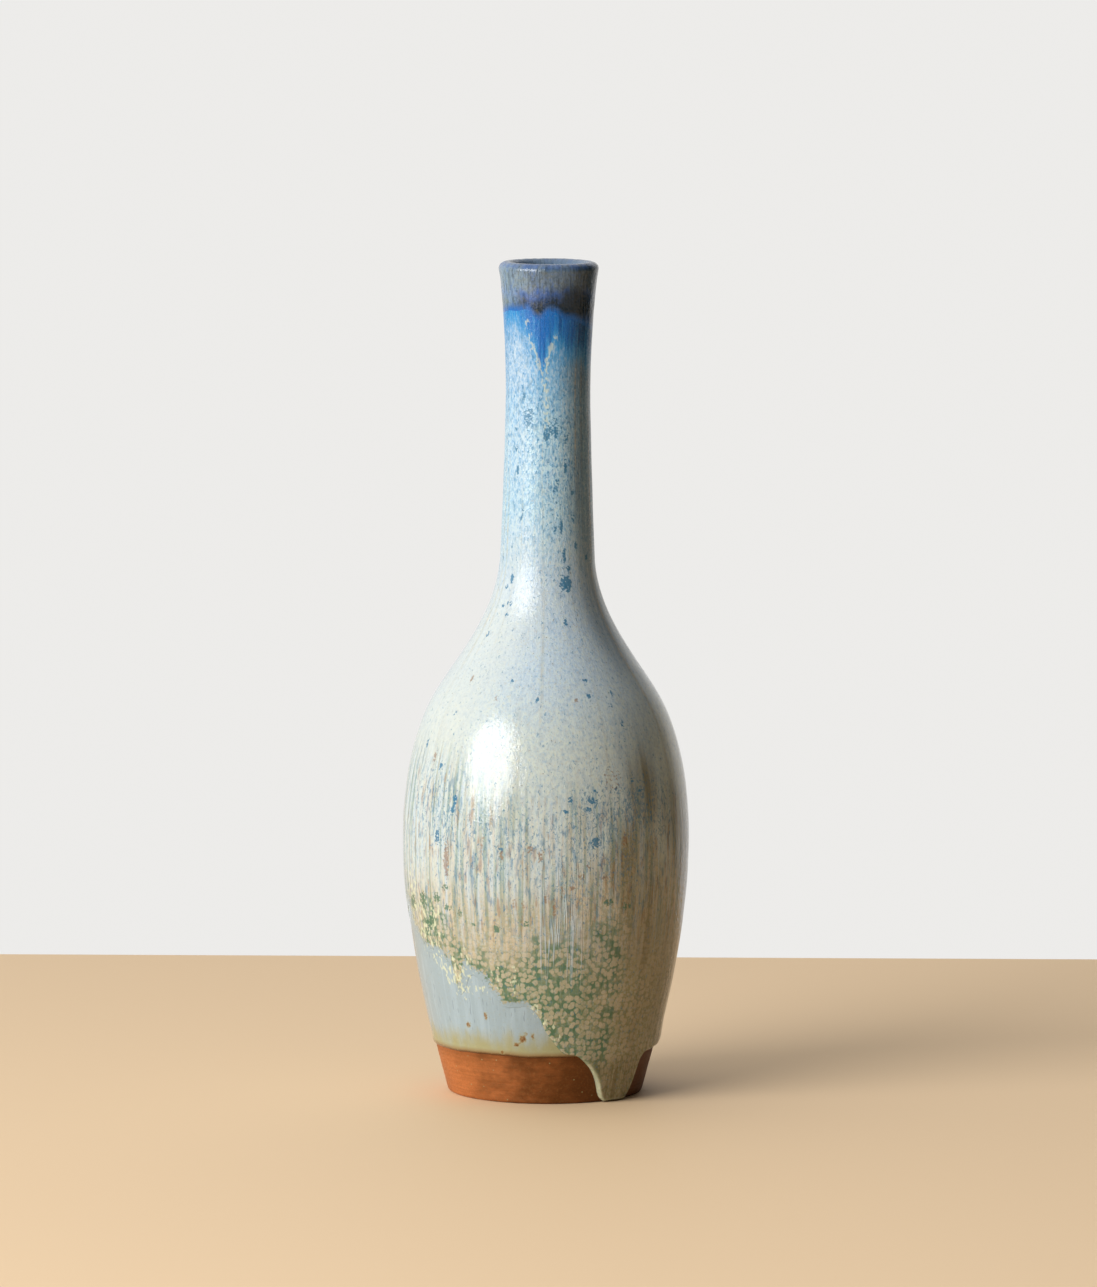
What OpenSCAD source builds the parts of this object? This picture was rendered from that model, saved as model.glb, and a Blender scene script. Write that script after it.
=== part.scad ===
// Ceramic bud vase: a thrown stoneware bottle with a slender neck and coats of glaze.
// Millimetres, +Z up. The origin is on the table, at the centre of the foot.
// The front, with the glaze run that reaches the foot, faces -Y.

/* [Overall] */
// Height of the body, from the table to the root of the neck
body_h = 122.5; // [102:0.5:147]
// Length of the neck, from its root to the top of the glazed rim
neck_h = 67.5; // [56:0.5:81]
// Clay diameter at the widest part of the belly
belly_d = 64.2; // [53:0.1:77.2]
// Clay diameter of the foot where it meets the table
foot_d = 44.2; // [36.8:0.1:53.2]

/* [Belly and shoulder] */
// Height of the widest part of the belly above the table
belly_z = 58; // [48:0.5:66]
// Angle of the wall at the foot, measured from the table inside the clay
foot_lean = 106; // [96:1:112]
// Distance from the root of the neck down to the middle of the shoulder
shoulder_drop = 30; // [25:0.5:36]
// Width of the middle of the shoulder, as a share of the belly's
shoulder_fullness = 0.75; // [0.65:0.01:0.82]
// Angle of the middle of the shoulder, measured from the table
shoulder_lean = 57; // [50:1:66]

/* [Neck and lip] */
// Finished diameter of the straight bore in the neck, which takes the stems
bore_d = 13; // [10.8:0.1:15.6]
// Distance from the root of the neck up to the foot of the straight bore
bore_start = 6; // [4:0.5:12]
// Depth of the flared mouth above the straight bore
mouth_depth = 9; // [7.5:0.5:11]
// Clay wall at the root of the neck
neck_root_wall = 3.35; // [2.8:0.05:4]
// Clay wall at the waist of the neck
waist_wall = 2.15; // [1.8:0.05:2.6]
// Distance from the root of the neck up to its waist
waist_rise = 38.5; // [32:0.5:44]
// How much wider the clay of the mouth is than the bore, on each side
mouth_flare = 1.25; // [1:0.05:1.5]
// Width of the clay rim, from the mouth to the outside of the lip
rim_w = 2.6; // [2.2:0.05:3.2]
// Height of the rounded top of the clay rim above the lip
rim_round = 0.9; // [0.7:0.05:1.1]

/* [Clay wall] */
// Wall thickness of the belly and shoulder
wall = 4; // [3.3:0.1:4.8]
// Thickness of the floor
floor_t = 5.5; // [4.5:0.1:6.6]
// Diameter of the flat middle of the floor
floor_flat_d = 16; // [13:0.5:20]
// Depth of the hollow turned in the underside of the foot
foot_recess = 2.5; // [2:0.1:3]
// Width of the flat ring that the vase stands on
foot_ring_w = 4.2; // [3.5:0.1:5]
// Chamfer round the outside of the foot
foot_chamfer = 0.6; // [0.5:0.05:0.7]

/* [Glaze] */
// Thickness of the base glaze and of the liner glaze
base_t = 0.35; // [0.25:0.01:0.45]
// Thickness of the second glaze and of the lip glaze on top
over_t = 0.35; // [0.25:0.01:0.45]
// Height of the glaze line above the table
glaze_line = 11; // [9:0.5:13.5]
// Depth of the lip glaze down the outside of the neck
lip_glaze_h = 11.7; // [10:0.1:14]
// How strongly the foot of the lip glaze waves up and down
lip_wave = 1; // [0:0.1:1.5]
// Depth of the lip glaze inside the mouth
lip_glaze_inside = 5.5; // [4.5:0.1:6.5]
// Gap between the tip of the glaze run and the table
run_gap = 0.6; // [0.6:0.05:1.2]
// Extra thickness of the glaze run where it has pooled
run_bulge = 0.6; // [0.3:0.05:0.8]

/* [Hidden] */
$fn = 96;

// Steps along a long and a short stretch of the profile, and the least step between levels
long_steps = 10;
short_steps = 6;
tiny = 0.01;

// Angles of the wall from the table: 90 is upright, and more leans out as it rises
upright = 90;
neck_root_lean = 87;
lip_lean = 99;
level_out = 180;

// The whole height, and the top of the clay under its coats
height = body_h + neck_h;
coats_t = base_t + over_t;
clay_top_z = height - coats_t;

foot_r = foot_d / 2;
belly_r = belly_d / 2;
clay_bore_r = bore_d / 2 + base_t;
bore_foot_z = body_h + bore_start;
bore_top_z = height - mouth_depth;
floor_z = foot_recess + floor_t;
neck_root_r = clay_bore_r + neck_root_wall;
waist_r = clay_bore_r + waist_wall;
mouth_r = clay_bore_r + mouth_flare;
lip_r = mouth_r + rim_w;
crest_r = mouth_r + 0.54 * rim_w;

// Levels where the glazes stop
lip_glaze_z = height - lip_glaze_h;
lip_inside_z = height - lip_glaze_inside;
run_tip_z = run_gap;
run_end_z = run_gap / 2;

// ---- curves ----

// Direction of a wall that rises at the given angle, in [distance from the axis, height]
function heading(lean) = [-cos(lean), sin(lean)];

// Points of a cubic Bezier curve, leaving out its first point
function curve(a, b, c, d, n) = [
    for (i = [1:n])
    let (t = i / n, s = 1 - t)
    s * s * s * a + 3 * s * s * t * b + 3 * s * t * t * c + t * t * t * d
];

// A rising curve between two stations. Each end has the lean of the wall there, and a
// pull: how far the curve follows that lean, as a share of the rise between them.
function span(a, lean_a, pull_a, b, lean_b, pull_b, n = long_steps) =
    let (rise = b[1] - a[1])
    curve(a, a + pull_a * rise * heading(lean_a), b - pull_b * rise * heading(lean_b), b, n);

// A smooth line through stations [x, z], as cubic pieces between neighbours
function through(p, n = 5) = [
    for (k = [0:len(p) - 2])
    let (a = p[max(k - 1, 0)], b = p[k], c = p[k + 1], d = p[min(k + 2, len(p) - 1)])
    for (i = [0:n - 1])
    let (t = i / n)
    0.5 * (2 * b + (c - a) * t + (2 * a - 5 * b + 4 * c - d) * t * t
        + (3 * b - a - 3 * c + d) * t * t * t)
];

function unit(v) = v / norm(v);
function reversed(p) = [for (i = [len(p) - 1:-1:0]) p[i]];

// The line of points p moved sideways by t, to the right of its direction of travel
function shifted(p, t) = [
    for (i = [0:len(p) - 1])
    let (along = unit(p[min(i + 1, len(p) - 1)] - p[max(i - 1, 0)]))
    p[i] + t * [along[1], -along[0]]
];

// Radius of a rising line at level z, and the parts of the line above and below it
function radius_at(p, z) = lookup(z, [for (q = p) [q[1], q[0]]]);
function above(p, z) = concat([[radius_at(p, z), z]], [for (q = p) if (q[1] > z + tiny) q]);
function below(p, z) = concat([for (q = p) if (q[1] < z - tiny) q], [[radius_at(p, z), z]]);

// ---- profile of the clay ----

foot_out = [foot_r, 0];
belly_out = [belly_r, belly_z];
shoulder_out = [belly_r * shoulder_fullness, body_h - shoulder_drop];
neck_root_out = [neck_root_r, body_h];
waist_out = [waist_r, body_h + waist_rise];
lip_out = [lip_r, clay_top_z - rim_round];
crest = [crest_r, clay_top_z];

// Outside of the clay, from the foot up to the lip and over to the crest of the rim
clay_outside = concat(
    [foot_out],
    span(foot_out, foot_lean, 0.5, belly_out, upright, 0.216),
    span(belly_out, upright, 0.39, shoulder_out, shoulder_lean, 0.304),
    span(shoulder_out, shoulder_lean, 0.35, neck_root_out, neck_root_lean, 0.4),
    span(neck_root_out, neck_root_lean, 0.312, waist_out, upright, 0.13, short_steps),
    span(waist_out, upright, 0.182, lip_out, lip_lean, 0.346, short_steps)
);
rim_outside = curve(lip_out, lip_out + [0, 0.55 * rim_round],
    crest + [0.27 * rim_w, 0], crest, short_steps);
outer_skin = concat(clay_outside, rim_outside);

// Inside of the clay, rising from the middle of the floor to the top of the bore
floor_edge = [floor_flat_d / 2, floor_z];
belly_in = belly_out - [wall, 0];
shoulder_in = shoulder_out - wall * [sin(shoulder_lean), cos(shoulder_lean)];
bore_foot = [clay_bore_r, bore_foot_z];
bore_top = [clay_bore_r, bore_top_z];
mouth_in = [mouth_r, clay_top_z - 1.5 * rim_round];

hollow = concat(
    [[0, floor_z], floor_edge],
    span(floor_edge, level_out, 0.228, belly_in, upright, 0.57),
    span(belly_in, upright, 0.39, shoulder_in, shoulder_lean, 0.304),
    span(shoulder_in, shoulder_lean, 0.28, bore_foot, upright, 0.32),
    [bore_top]
);
mouth = concat(
    span(bore_top, upright, 0.35, mouth_in, upright, 0.4, short_steps),
    curve(mouth_in, mouth_in + [0, 0.8 * rim_round],
        crest - [0.3 * rim_w, 0], crest, short_steps)
);
rim_inside = reversed(concat([bore_top], [for (i = [0:len(mouth) - 2]) mouth[i]]));
clay_inside = concat(rim_inside, reversed([for (i = [0:len(hollow) - 2]) hollow[i]]));

// Underside: the turned hollow, the flat ring and the foot of the chamfer
ring_out_r = foot_r - foot_chamfer;
ring_in_r = ring_out_r - foot_ring_w;
underside = [
    [0, foot_recess],
    [ring_in_r - foot_recess, foot_recess],
    [ring_in_r, 0],
    [ring_out_r, 0]
];

// ---- coats ----

// The clay's skin from the foot over the rim and down to the bore, and its coated faces
over_rim = concat(outer_skin, rim_inside);
base_face = shifted(over_rim, base_t);
coated_face = shifted(over_rim, coats_t);
outer_base_face = shifted(outer_skin, base_t);
outer_coated_face = shifted(outer_skin, coats_t);

// Outside of the second glaze low down: it thickens below pool_z, and is rounded off
// over tip_h at the tip of the run
pool_z = 1.5 * glaze_line;
tip_h = 2.4;
pool_steps = 16;
function pooled(z) = run_bulge * min(1, (pool_z - z) / (0.7 * pool_z));
function tip_round(z) = sqrt(1 - pow(max(0, 1 - (z - run_end_z) / tip_h), 2));
function run_face_r(z) = radius_at(outer_skin, z)
    + max(0.05, (coats_t + pooled(z)) * tip_round(z));
run_face = [
    for (i = [0:pool_steps])
    let (z = run_end_z + (pool_z - run_end_z) * pow(i / pool_steps, 1.6))
    [run_face_r(z), z]
];
face_above_pool = [for (q = outer_coated_face) if (q[1] > pool_z + 1) q];

// Lower edge of the second glaze, seen from the front: [x as a share of the belly, z].
// The ends are shared by the near and the far side, so the edge closes round the vase.
edge_left = [[-1.2, 45], [-1.05, 42.5], [-0.95, 40]];
edge_right = [[0.8, 12.6], [1.1, 13.2], [1.3, 13.4]];
edge_front = concat(edge_left, [
    [-0.86, 34.5], [-0.73, 32.5], [-0.66, 26], [-0.58, 25.6], [-0.52, 30], [-0.44, 28.5],
    [-0.34, 23.6], [-0.16, 23.4], [-0.05, 20.5], [0.06, 16.5], [0.12, 13], [0.2, 11.6],
    [0.27, 10.6], [0.33, 7.2], [0.365, 3.6], [0.395, 1.3], [0.45, 0.6], [0.51, 0.7],
    [0.56, 1.8], [0.6, 5], [0.65, 9.6], [0.72, 11.6]
], edge_right);
edge_back = concat(edge_left, [
    [-0.82, 35], [-0.62, 33], [-0.5, 24], [-0.4, 21.5], [-0.3, 25], [-0.1, 27],
    [0.08, 22], [0.16, 15.5], [0.24, 14], [0.32, 17.5], [0.5, 19.5], [0.68, 15]
], edge_right);
edge_tip = 0.6;
edge_glaze_line = 11;

// The edge in millimetres, with its levels set by the run's tip and the glaze line
function edge_level(z) = run_tip_z
    + (z - edge_tip) * (glaze_line - run_tip_z) / (edge_glaze_line - edge_tip);
function edge_line(edge) = through([for (e = edge) [e[0] * belly_r, edge_level(e[1])]]);

// Waved foot of the lip glaze: [x as a share of the lip, rise above its level]
lip_waves = [
    [-1.4, 0.4], [-0.9, 0.6], [-0.43, 1], [-0.22, -1], [0.04, 0.9], [0.33, -0.8],
    [0.6, -1.6], [0.83, -2.3], [1.2, -2.5], [1.4, -2.5]
];
lip_edge = through([for (w = lip_waves) [w[0] * lip_r, lip_glaze_z + lip_wave * w[1]]]);

// A closed outline turned about the vase's axis
module turned(outline) {
    rotate_extrude() polygon(outline);
}

// Everything above an edge line drawn in X and Z, on the near side or the far side
module above_edge(line, far) {
    first = line[0];
    last = line[len(line) - 1];
    mirror([0, far ? 1 : 0, 0])
    rotate([90, 0, 0])
    linear_extrude(belly_d)
    polygon(concat(line, [[last[0], 1.1 * height], [first[0], 1.1 * height]]));
}

module above_lip_edge() {
    above_edge(lip_edge, false);
    above_edge(lip_edge, true);
}

// The inside of the bore and mouth below the foot of the rim's coats
module bore_core() {
    cylinder(r = (clay_bore_r + 3 * waist_r) / 4, h = lip_inside_z);
}

// ---- nodes ----

// The fired clay: one thrown and turned piece, open at the neck and closed at the floor
module clay_body() {
    color([0.58, 0.34, 0.24])
    turned(concat(underside, above(clay_outside, foot_chamfer), rim_outside, clay_inside));
}

// Pale blue coat from the glaze line up the outside, over the rim and into the mouth
module base_glaze() {
    color([0.63, 0.71, 0.78])
    difference() {
        turned(concat(above(base_face, glaze_line), reversed(above(over_rim, glaze_line))));
        bore_core();
    }
}

// Second coat, which ran down over the first and reached the foot in one place
module overglaze() {
    color([0.62, 0.74, 0.77])
    difference() {
        intersection() {
            turned(concat(
                run_face,
                face_above_pool,
                reversed(above(outer_base_face, glaze_line)),
                reversed(below(above(outer_skin, run_end_z), glaze_line))
            ));
            union() {
                above_edge(edge_line(edge_front), false);
                above_edge(edge_line(edge_back), true);
            }
        }
        above_lip_edge();
    }
}

// Dark blue coat over the rim, with a waved edge down the neck
module lip_glaze() {
    color([0.24, 0.32, 0.46])
    difference() {
        intersection() {
            turned(concat(coated_face, reversed(base_face)));
            above_lip_edge();
        }
        bore_core();
    }
}

// Coat inside the vase, from the mouth down the bore and over the floor
module liner_glaze() {
    color([0.66, 0.72, 0.76])
    turned(concat(
        below(reversed(clay_inside), lip_inside_z),
        reversed(below(reversed(shifted(clay_inside, base_t)), lip_inside_z))
    ));
}

clay_body();
base_glaze();
overglaze();
lip_glaze();
liner_glaze();
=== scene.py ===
"""A ceramic bud vase: a thrown stoneware bottle under running glazes, each coat a piece.

The file is laid out as an add-on and run as a script. Lengths inside the shape functions are
millimetres; the meshes are written in metres, in the frame's own axes: +Z up, the front at -Y.
Places on the vase are given as an angle from the front, in degrees, the right being positive,
and a height above the table in millimetres.
"""

import math
from types import SimpleNamespace

import bpy
import numpy as np
from mathutils import Matrix, Vector


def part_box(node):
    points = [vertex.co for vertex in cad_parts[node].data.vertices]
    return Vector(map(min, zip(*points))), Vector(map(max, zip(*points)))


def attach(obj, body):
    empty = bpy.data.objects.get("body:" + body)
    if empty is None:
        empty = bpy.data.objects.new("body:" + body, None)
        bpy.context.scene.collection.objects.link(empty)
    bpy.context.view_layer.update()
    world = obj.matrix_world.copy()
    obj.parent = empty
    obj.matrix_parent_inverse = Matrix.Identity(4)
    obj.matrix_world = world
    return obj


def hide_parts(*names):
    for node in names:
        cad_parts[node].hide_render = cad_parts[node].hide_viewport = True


bl_info = {
    "name": "Ceramic bud vase",
    "version": (1, 0, 0),
    "blender": (4, 5, 0),
    "location": "View3D > Sidebar > Bud vase",
    "description": "Builds a glazed stoneware bud vase and the studio it stands in",
    "category": "Add Mesh",
}

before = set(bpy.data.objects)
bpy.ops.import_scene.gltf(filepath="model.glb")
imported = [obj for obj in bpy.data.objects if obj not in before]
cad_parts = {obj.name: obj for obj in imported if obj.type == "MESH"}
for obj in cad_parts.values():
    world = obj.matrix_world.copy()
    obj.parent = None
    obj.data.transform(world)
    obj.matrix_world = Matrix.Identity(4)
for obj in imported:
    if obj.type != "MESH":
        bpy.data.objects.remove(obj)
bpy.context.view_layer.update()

MM = 0.001
AROUND = 450  # columns round the vase
MEAN_RADIUS = 26  # of the wall, in mm, for the width of soft patches
FLOW_RADIUS = 24  # of the straight cylinder on which the streaks are laid out, in mm
WALL_LENGTH = 420  # more than the longest line up the wall, in mm
FOOT_ROUND = 0.75  # rounding of the foot's outer edge, in mm
MOUTH_ARC = 1.12  # length along the curve of the mouth for each mm of depth
RIM_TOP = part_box("lip_glaze")[1].z
CLAY_LOW, CLAY_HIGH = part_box("clay_body")
GLAZE_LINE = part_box("base_glaze")[0].z
LINER_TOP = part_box("liner_glaze")[1].z


# ---- sizes and colours that a user would change ----


def length(name, description, default):
    """A length in metres that shows in the sidebar with its unit."""
    return bpy.props.FloatProperty(
        name=name, description=description, default=default, min=0, unit="LENGTH", precision=5
    )


def number(name, description, default, low=0.0, high=1.0):
    """A plain number with its limits."""
    return bpy.props.FloatProperty(
        name=name, description=description, default=default, min=low, max=high
    )


def colour(name, description, red, green, blue):
    """A colour given by its screen values from 0 to 255, kept as linear light."""
    screen = np.array([red, green, blue]) / 255
    linear = np.where(screen < 0.04045, screen / 12.92, ((screen + 0.055) / 1.055) ** 2.4)
    return bpy.props.FloatVectorProperty(
        name=name,
        description=description,
        default=linear.tolist(),
        size=3,
        min=0,
        max=1,
        subtype="COLOR",
    )


class VaseShape(bpy.types.PropertyGroup):
    """The sizes of the thrown body and of its coats."""

    belly_d: length("Belly", "Clay diameter at the belly", CLAY_HIGH.x - CLAY_LOW.x)
    belly_z: length("Belly height", "Height of the widest part", 0.058)
    foot_d: length("Foot", "Clay diameter at the table", 0.0442)
    body_h: length("Body", "Height of the root of the neck", 0.1225)
    height: length("Height", "Height of the glazed rim", RIM_TOP)
    shoulder_drop: length("Shoulder", "From the root of the neck down to the shoulder", 0.030)
    shoulder_share: number("Fullness", "Width at the shoulder as a share of the belly", 0.75)
    bore_d: length("Bore", "Finished diameter of the bore", 0.013)
    mouth_depth: length("Mouth", "Depth of the flared mouth", 0.009)
    wall: length("Wall", "Clay wall of the belly", 0.004)
    floor_z: length("Floor", "Height of the clay floor inside", 0.008)
    recess: length("Recess", "Depth of the hollow under the foot", 0.0025)
    ring_w: length("Foot ring", "Width of the ring that the vase stands on", 0.0042)
    base_t: length("Base coat", "Thickness of the base glaze and of the liner", 0.00035)
    over_t: length("Top coats", "Thickness of the second glaze and of the lip glaze", 0.00035)
    glaze_line: length("Glaze line", "Height of the glaze line", GLAZE_LINE)
    lip_drop: length("Lip coat", "Depth of the lip glaze down the neck", 0.0117)
    lip_inside: length("Inside lip", "Depth of the lip glaze in the mouth", RIM_TOP - LINER_TOP)
    run_bulge: length("Run", "Extra thickness of the run", 0.0006)


class GlazeColours(bpy.types.PropertyGroup):
    """The colours of the glazes and of the clay."""

    cobalt: colour("Cobalt", "Deep blue below the lip", 0, 92, 168)
    azure: colour("Azure", "Bright blue under the cobalt", 40, 130, 188)
    sky: colour("Sky", "Blue of the neck", 168, 198, 210)
    mist: colour("Mist", "Pale blue-grey of the shoulder", 176, 194, 207)
    celadon: colour("Celadon", "Pale green-grey of the belly", 183, 194, 192)
    teal: colour("Teal", "Dark blue-green specks", 40, 104, 138)
    # Bark also paints the shade and warm floor bounce on the belly's right side, and colours the run.
    bark: colour("Bark", "Brown veil down one side of the belly", 104, 90, 44)
    sand: colour("Sand", "Pink-beige crystals low on the belly", 190, 175, 150)
    umber: colour("Umber", "Grey-brown glaze between the crystals", 138, 134, 92)
    moss: colour("Moss", "Green glaze between the crystals", 60, 102, 76)
    straw: colour("Straw", "Yellow-white crystals and spills", 200, 204, 172)
    rust: colour("Rust", "Iron spots and the toasted glaze edge", 124, 84, 42)
    ice: colour("Ice", "Pale blue-grey base glaze", 144, 161, 168)
    olive: colour("Olive", "Base glaze where it thins above the foot", 150, 146, 104)
    # Slate also paints the grey shade down the right side of the neck.
    slate: colour("Slate", "Grey of the rim", 94, 114, 134)
    indigo: colour("Indigo", "Violet-blue lines of the rim", 56, 94, 158)
    # Ink also paints shade: under the lip on the right side, and in the rim's dark patches on the right.
    ink: colour("Ink", "Near-black glaze of the rim", 6, 34, 52)
    clay: colour("Clay", "Fired stoneware", 172, 101, 52)
    # Scorch also paints the shade that darkens the clay towards the right.
    scorch: colour("Scorch", "Toasted stoneware", 82, 42, 0)


class VaseStudio(bpy.types.PropertyGroup):
    """The camera, the floor and the light."""

    distance: length("Distance", "Camera to the vase, along the table", 2.0635)
    aside: length("Aside", "Camera to the right of the vase", 0.00035)
    eye: length("Eye height", "Camera above the table", 0.3379)
    pitch: number("Pitch", "Downward tilt in degrees", 6.503, -90, 90)
    roll: number("Roll", "Camera roll in degrees", 0.27, -10, 10)
    focal: number("Focal", "Focal length over the width of the frame", 8.3058, 0.1, 100)
    window: number("Window", "Power of the window in watts", 29.5, 0, 1000)
    room: number("Room", "Strength of the light from the room", 1.0, 0, 10)
    floor: colour("Floor", "Colour of the floor", 226, 196, 157)


def sizes():
    """The shape's sizes by name, in millimetres."""
    shape = bpy.context.scene.vase_shape
    out = {key: getattr(shape, key) / MM for key in shape.__annotations__}
    out["shoulder_share"] = shape.shoulder_share
    out["coats"] = out["base_t"] + out["over_t"]
    out["clay_top"] = out["height"] - out["coats"]
    return out


# ---- the profile ----


def heading(lean):
    """The direction of a wall that leans at an angle to the table, 90 being upright."""
    a = math.radians(lean)
    return np.array([-math.cos(a), math.sin(a)])


def curve(a, b, c, d, n):
    """n points of the cubic Bezier curve with corners a, b, c, d, leaving out its first."""
    t = np.linspace(0, 1, n + 1)[1:, None]
    s = 1 - t
    return s**3 * a + 3 * s**2 * t * b + 3 * s * t**2 * c + t**3 * d


def span(a, lean_a, pull_a, b, lean_b, pull_b, n=90):
    """A curve between two stations that follows each end's lean for a share of the rise."""
    a, b = np.asarray(a, float), np.asarray(b, float)
    rise = b[1] - a[1]
    return curve(
        a, a + pull_a * rise * heading(lean_a), b - pull_b * rise * heading(lean_b), b, n
    )


def clay_lines(size):
    """The clay's outside from the foot to the crest of the rim, and its inside from the crest
    down to the middle of the floor, as points [distance from the axis, height]."""
    bore = size["bore_d"] / 2 + size["base_t"]
    mouth_flare, rim_w, rim_round = 1.25, 2.6, 0.9
    root_wall, waist_wall, waist_rise = 3.35, 2.15, 38.5
    foot_lean, shoulder_lean, lip_lean = 106, 57, 99
    bore_start, floor_flat = 6, 8.0
    mouth = bore + mouth_flare
    belly = np.array([size["belly_d"] / 2, size["belly_z"]])
    shoulder_r = belly[0] * size["shoulder_share"]
    shoulder = np.array([shoulder_r, size["body_h"] - size["shoulder_drop"]])
    root = np.array([bore + root_wall, size["body_h"]])
    waist = np.array([bore + waist_wall, size["body_h"] + waist_rise])
    lip = np.array([mouth + rim_w, size["clay_top"] - rim_round])
    crest = np.array([mouth + 0.54 * rim_w, size["clay_top"]])
    foot = np.array([size["foot_d"] / 2, 0.0])
    outside = np.vstack(
        [
            [foot],
            span(foot, foot_lean, 0.5, belly, 90, 0.216),
            span(belly, 90, 0.39, shoulder, shoulder_lean, 0.304),
            span(shoulder, shoulder_lean, 0.35, root, 87, 0.4),
            span(root, 87, 0.312, waist, 90, 0.13),
            span(waist, 90, 0.182, lip, lip_lean, 0.346),
            curve(lip, lip + [0, 0.55 * rim_round], crest + [0.27 * rim_w, 0], crest, 30),
        ]
    )
    slope = np.radians(shoulder_lean)
    shoulder_in = shoulder - size["wall"] * np.array([np.sin(slope), np.cos(slope)])
    belly_in = belly - [size["wall"], 0]
    bore_foot = np.array([bore, size["body_h"] + bore_start])
    bore_top = np.array([bore, size["height"] - size["mouth_depth"]])
    mouth_in = np.array([mouth, size["clay_top"] - 1.5 * rim_round])
    edge = np.array([floor_flat, size["floor_z"]])
    inside = np.vstack(
        [
            np.linspace([0, size["floor_z"]], edge, 9),
            span(edge, 180, 0.228, belly_in, 90, 0.57),
            span(belly_in, 90, 0.39, shoulder_in, shoulder_lean, 0.304),
            span(shoulder_in, shoulder_lean, 0.28, bore_foot, 90, 0.32),
            np.linspace(bore_foot, bore_top, 60)[1:],
            span(bore_top, 90, 0.35, mouth_in, 90, 0.4, 40),
            curve(mouth_in, mouth_in + [0, 0.8 * rim_round], crest - [0.3 * rim_w, 0], crest, 30),
        ]
    )
    return outside, inside[::-1]


class Line:
    """A line in [distance from the axis, height], walked by its length, with its normals."""

    def __init__(self, points):
        step = np.linalg.norm(np.diff(points, axis=0), axis=1)
        self.points = points[np.concatenate([[True], step > 1e-6])]
        step = np.linalg.norm(np.diff(self.points, axis=0), axis=1)
        self.at = np.concatenate([[0], np.cumsum(step)])
        along = np.gradient(self.points, self.at, axis=0)
        along /= np.linalg.norm(along, axis=1)[:, None]
        self.normal = np.stack([along[:, 1], -along[:, 0]], axis=1)
        self.end = self.at[-1]
        self.summit = int(np.argmax(self.points[:, 1]))

    def spot(self, s, out=0.0):
        """Distance from the axis and height at length s, moved out along the normal."""
        r = np.interp(s, self.at, self.points[:, 0]) + out * np.interp(s, self.at, self.normal[:, 0])
        z = np.interp(s, self.at, self.points[:, 1]) + out * np.interp(s, self.at, self.normal[:, 1])
        return r, z

    def reach(self, z):
        """Length along the line at which it first rises to height z."""
        rising = slice(0, self.summit + 1)
        return np.interp(z, self.points[rising, 1], self.at[rising])


# ---- soft random fields, the same on every run ----


def field(theta, s, across, along, seed, octaves=2):
    """Smooth noise from about -1 to 1 on the wall: eased blends of random values on a lattice
    that closes round the vase, with finer and weaker copies added. The patches are about
    across by along millimetres."""
    total, weight = 0.0, 0.0
    for k in range(octaves):
        n = max(3, int(round(2 * np.pi * MEAN_RADIUS / across * 2**k)))
        m = int(WALL_LENGTH / along * 2**k) + 8
        lattice = np.random.default_rng(seed * 101 + k).uniform(-1, 1, (n, m))
        u = (theta / (2 * np.pi) % 1) * n
        v = np.clip(s / along * 2**k + 2, 0, m - 2.001)
        i, j = np.floor(u).astype(int), np.floor(v).astype(int)
        fu, fv = u - i, v - j
        fu, fv = fu * fu * (3 - 2 * fu), fv * fv * (3 - 2 * fv)
        low = lattice[i % n, j] * (1 - fu) + lattice[(i + 1) % n, j] * fu
        high = lattice[i % n, j + 1] * (1 - fu) + lattice[(i + 1) % n, j + 1] * fu
        total = total + (low * (1 - fv) + high * fv) / 2**k
        weight += 0.5**k
    return total / weight * 1.6


def smooth(x, low, high):
    """0 at low and 1 at high, with an easy curve between; low may be the larger."""
    t = np.clip((x - low) / (high - low), 0, 1)
    return t * t * (3 - 2 * t)


def rounded(d, w):
    """The height of a quarter-round edge: 0 at the edge and 1 beyond the width w."""
    return np.sqrt(np.clip(1 - (1 - np.clip(d / w, 0, 1)) ** 2, 0, 1))


def around(stations, theta):
    """A smooth closed curve through stations (angle, value): cubic pieces whose slopes are
    the mean of the slopes to the neighbours."""
    p = np.array(sorted(stations), float)
    x = np.concatenate([p[-2:, 0] - 360, p[:, 0], p[:2, 0] + 360])
    y = np.concatenate([p[-2:, 1], p[:, 1], p[:2, 1]])
    slope = np.gradient(y, x)
    t = (np.degrees(theta) + 180) % 360 - 180
    k = np.clip(np.searchsorted(x, t, side="right") - 1, 1, len(x) - 3)
    h = x[k + 1] - x[k]
    u = (t - x[k]) / h
    return (
        (2 * u**3 - 3 * u**2 + 1) * y[k]
        + (u**3 - 2 * u**2 + u) * h * slope[k]
        + (3 * u**2 - 2 * u**3) * y[k + 1]
        + (u**3 - u**2) * h * slope[k + 1]
    )


def marks(theta, r, z, spots):
    """How strongly a list of spots (angle, height, half width, half height, strength) covers
    each point: each is an ellipse in millimetres that fades at its edge; the strongest counts."""
    cover = np.zeros(np.broadcast(theta, z).shape)
    for angle, level, wide, tall, strength in spots:
        turn = (np.degrees(theta) - angle + 180) % 360 - 180
        d = np.hypot(np.radians(turn) * r / wide, (z - level) / tall)
        cover = np.maximum(cover, strength * smooth(d, 1.5, 0.4))
    return cover


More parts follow.
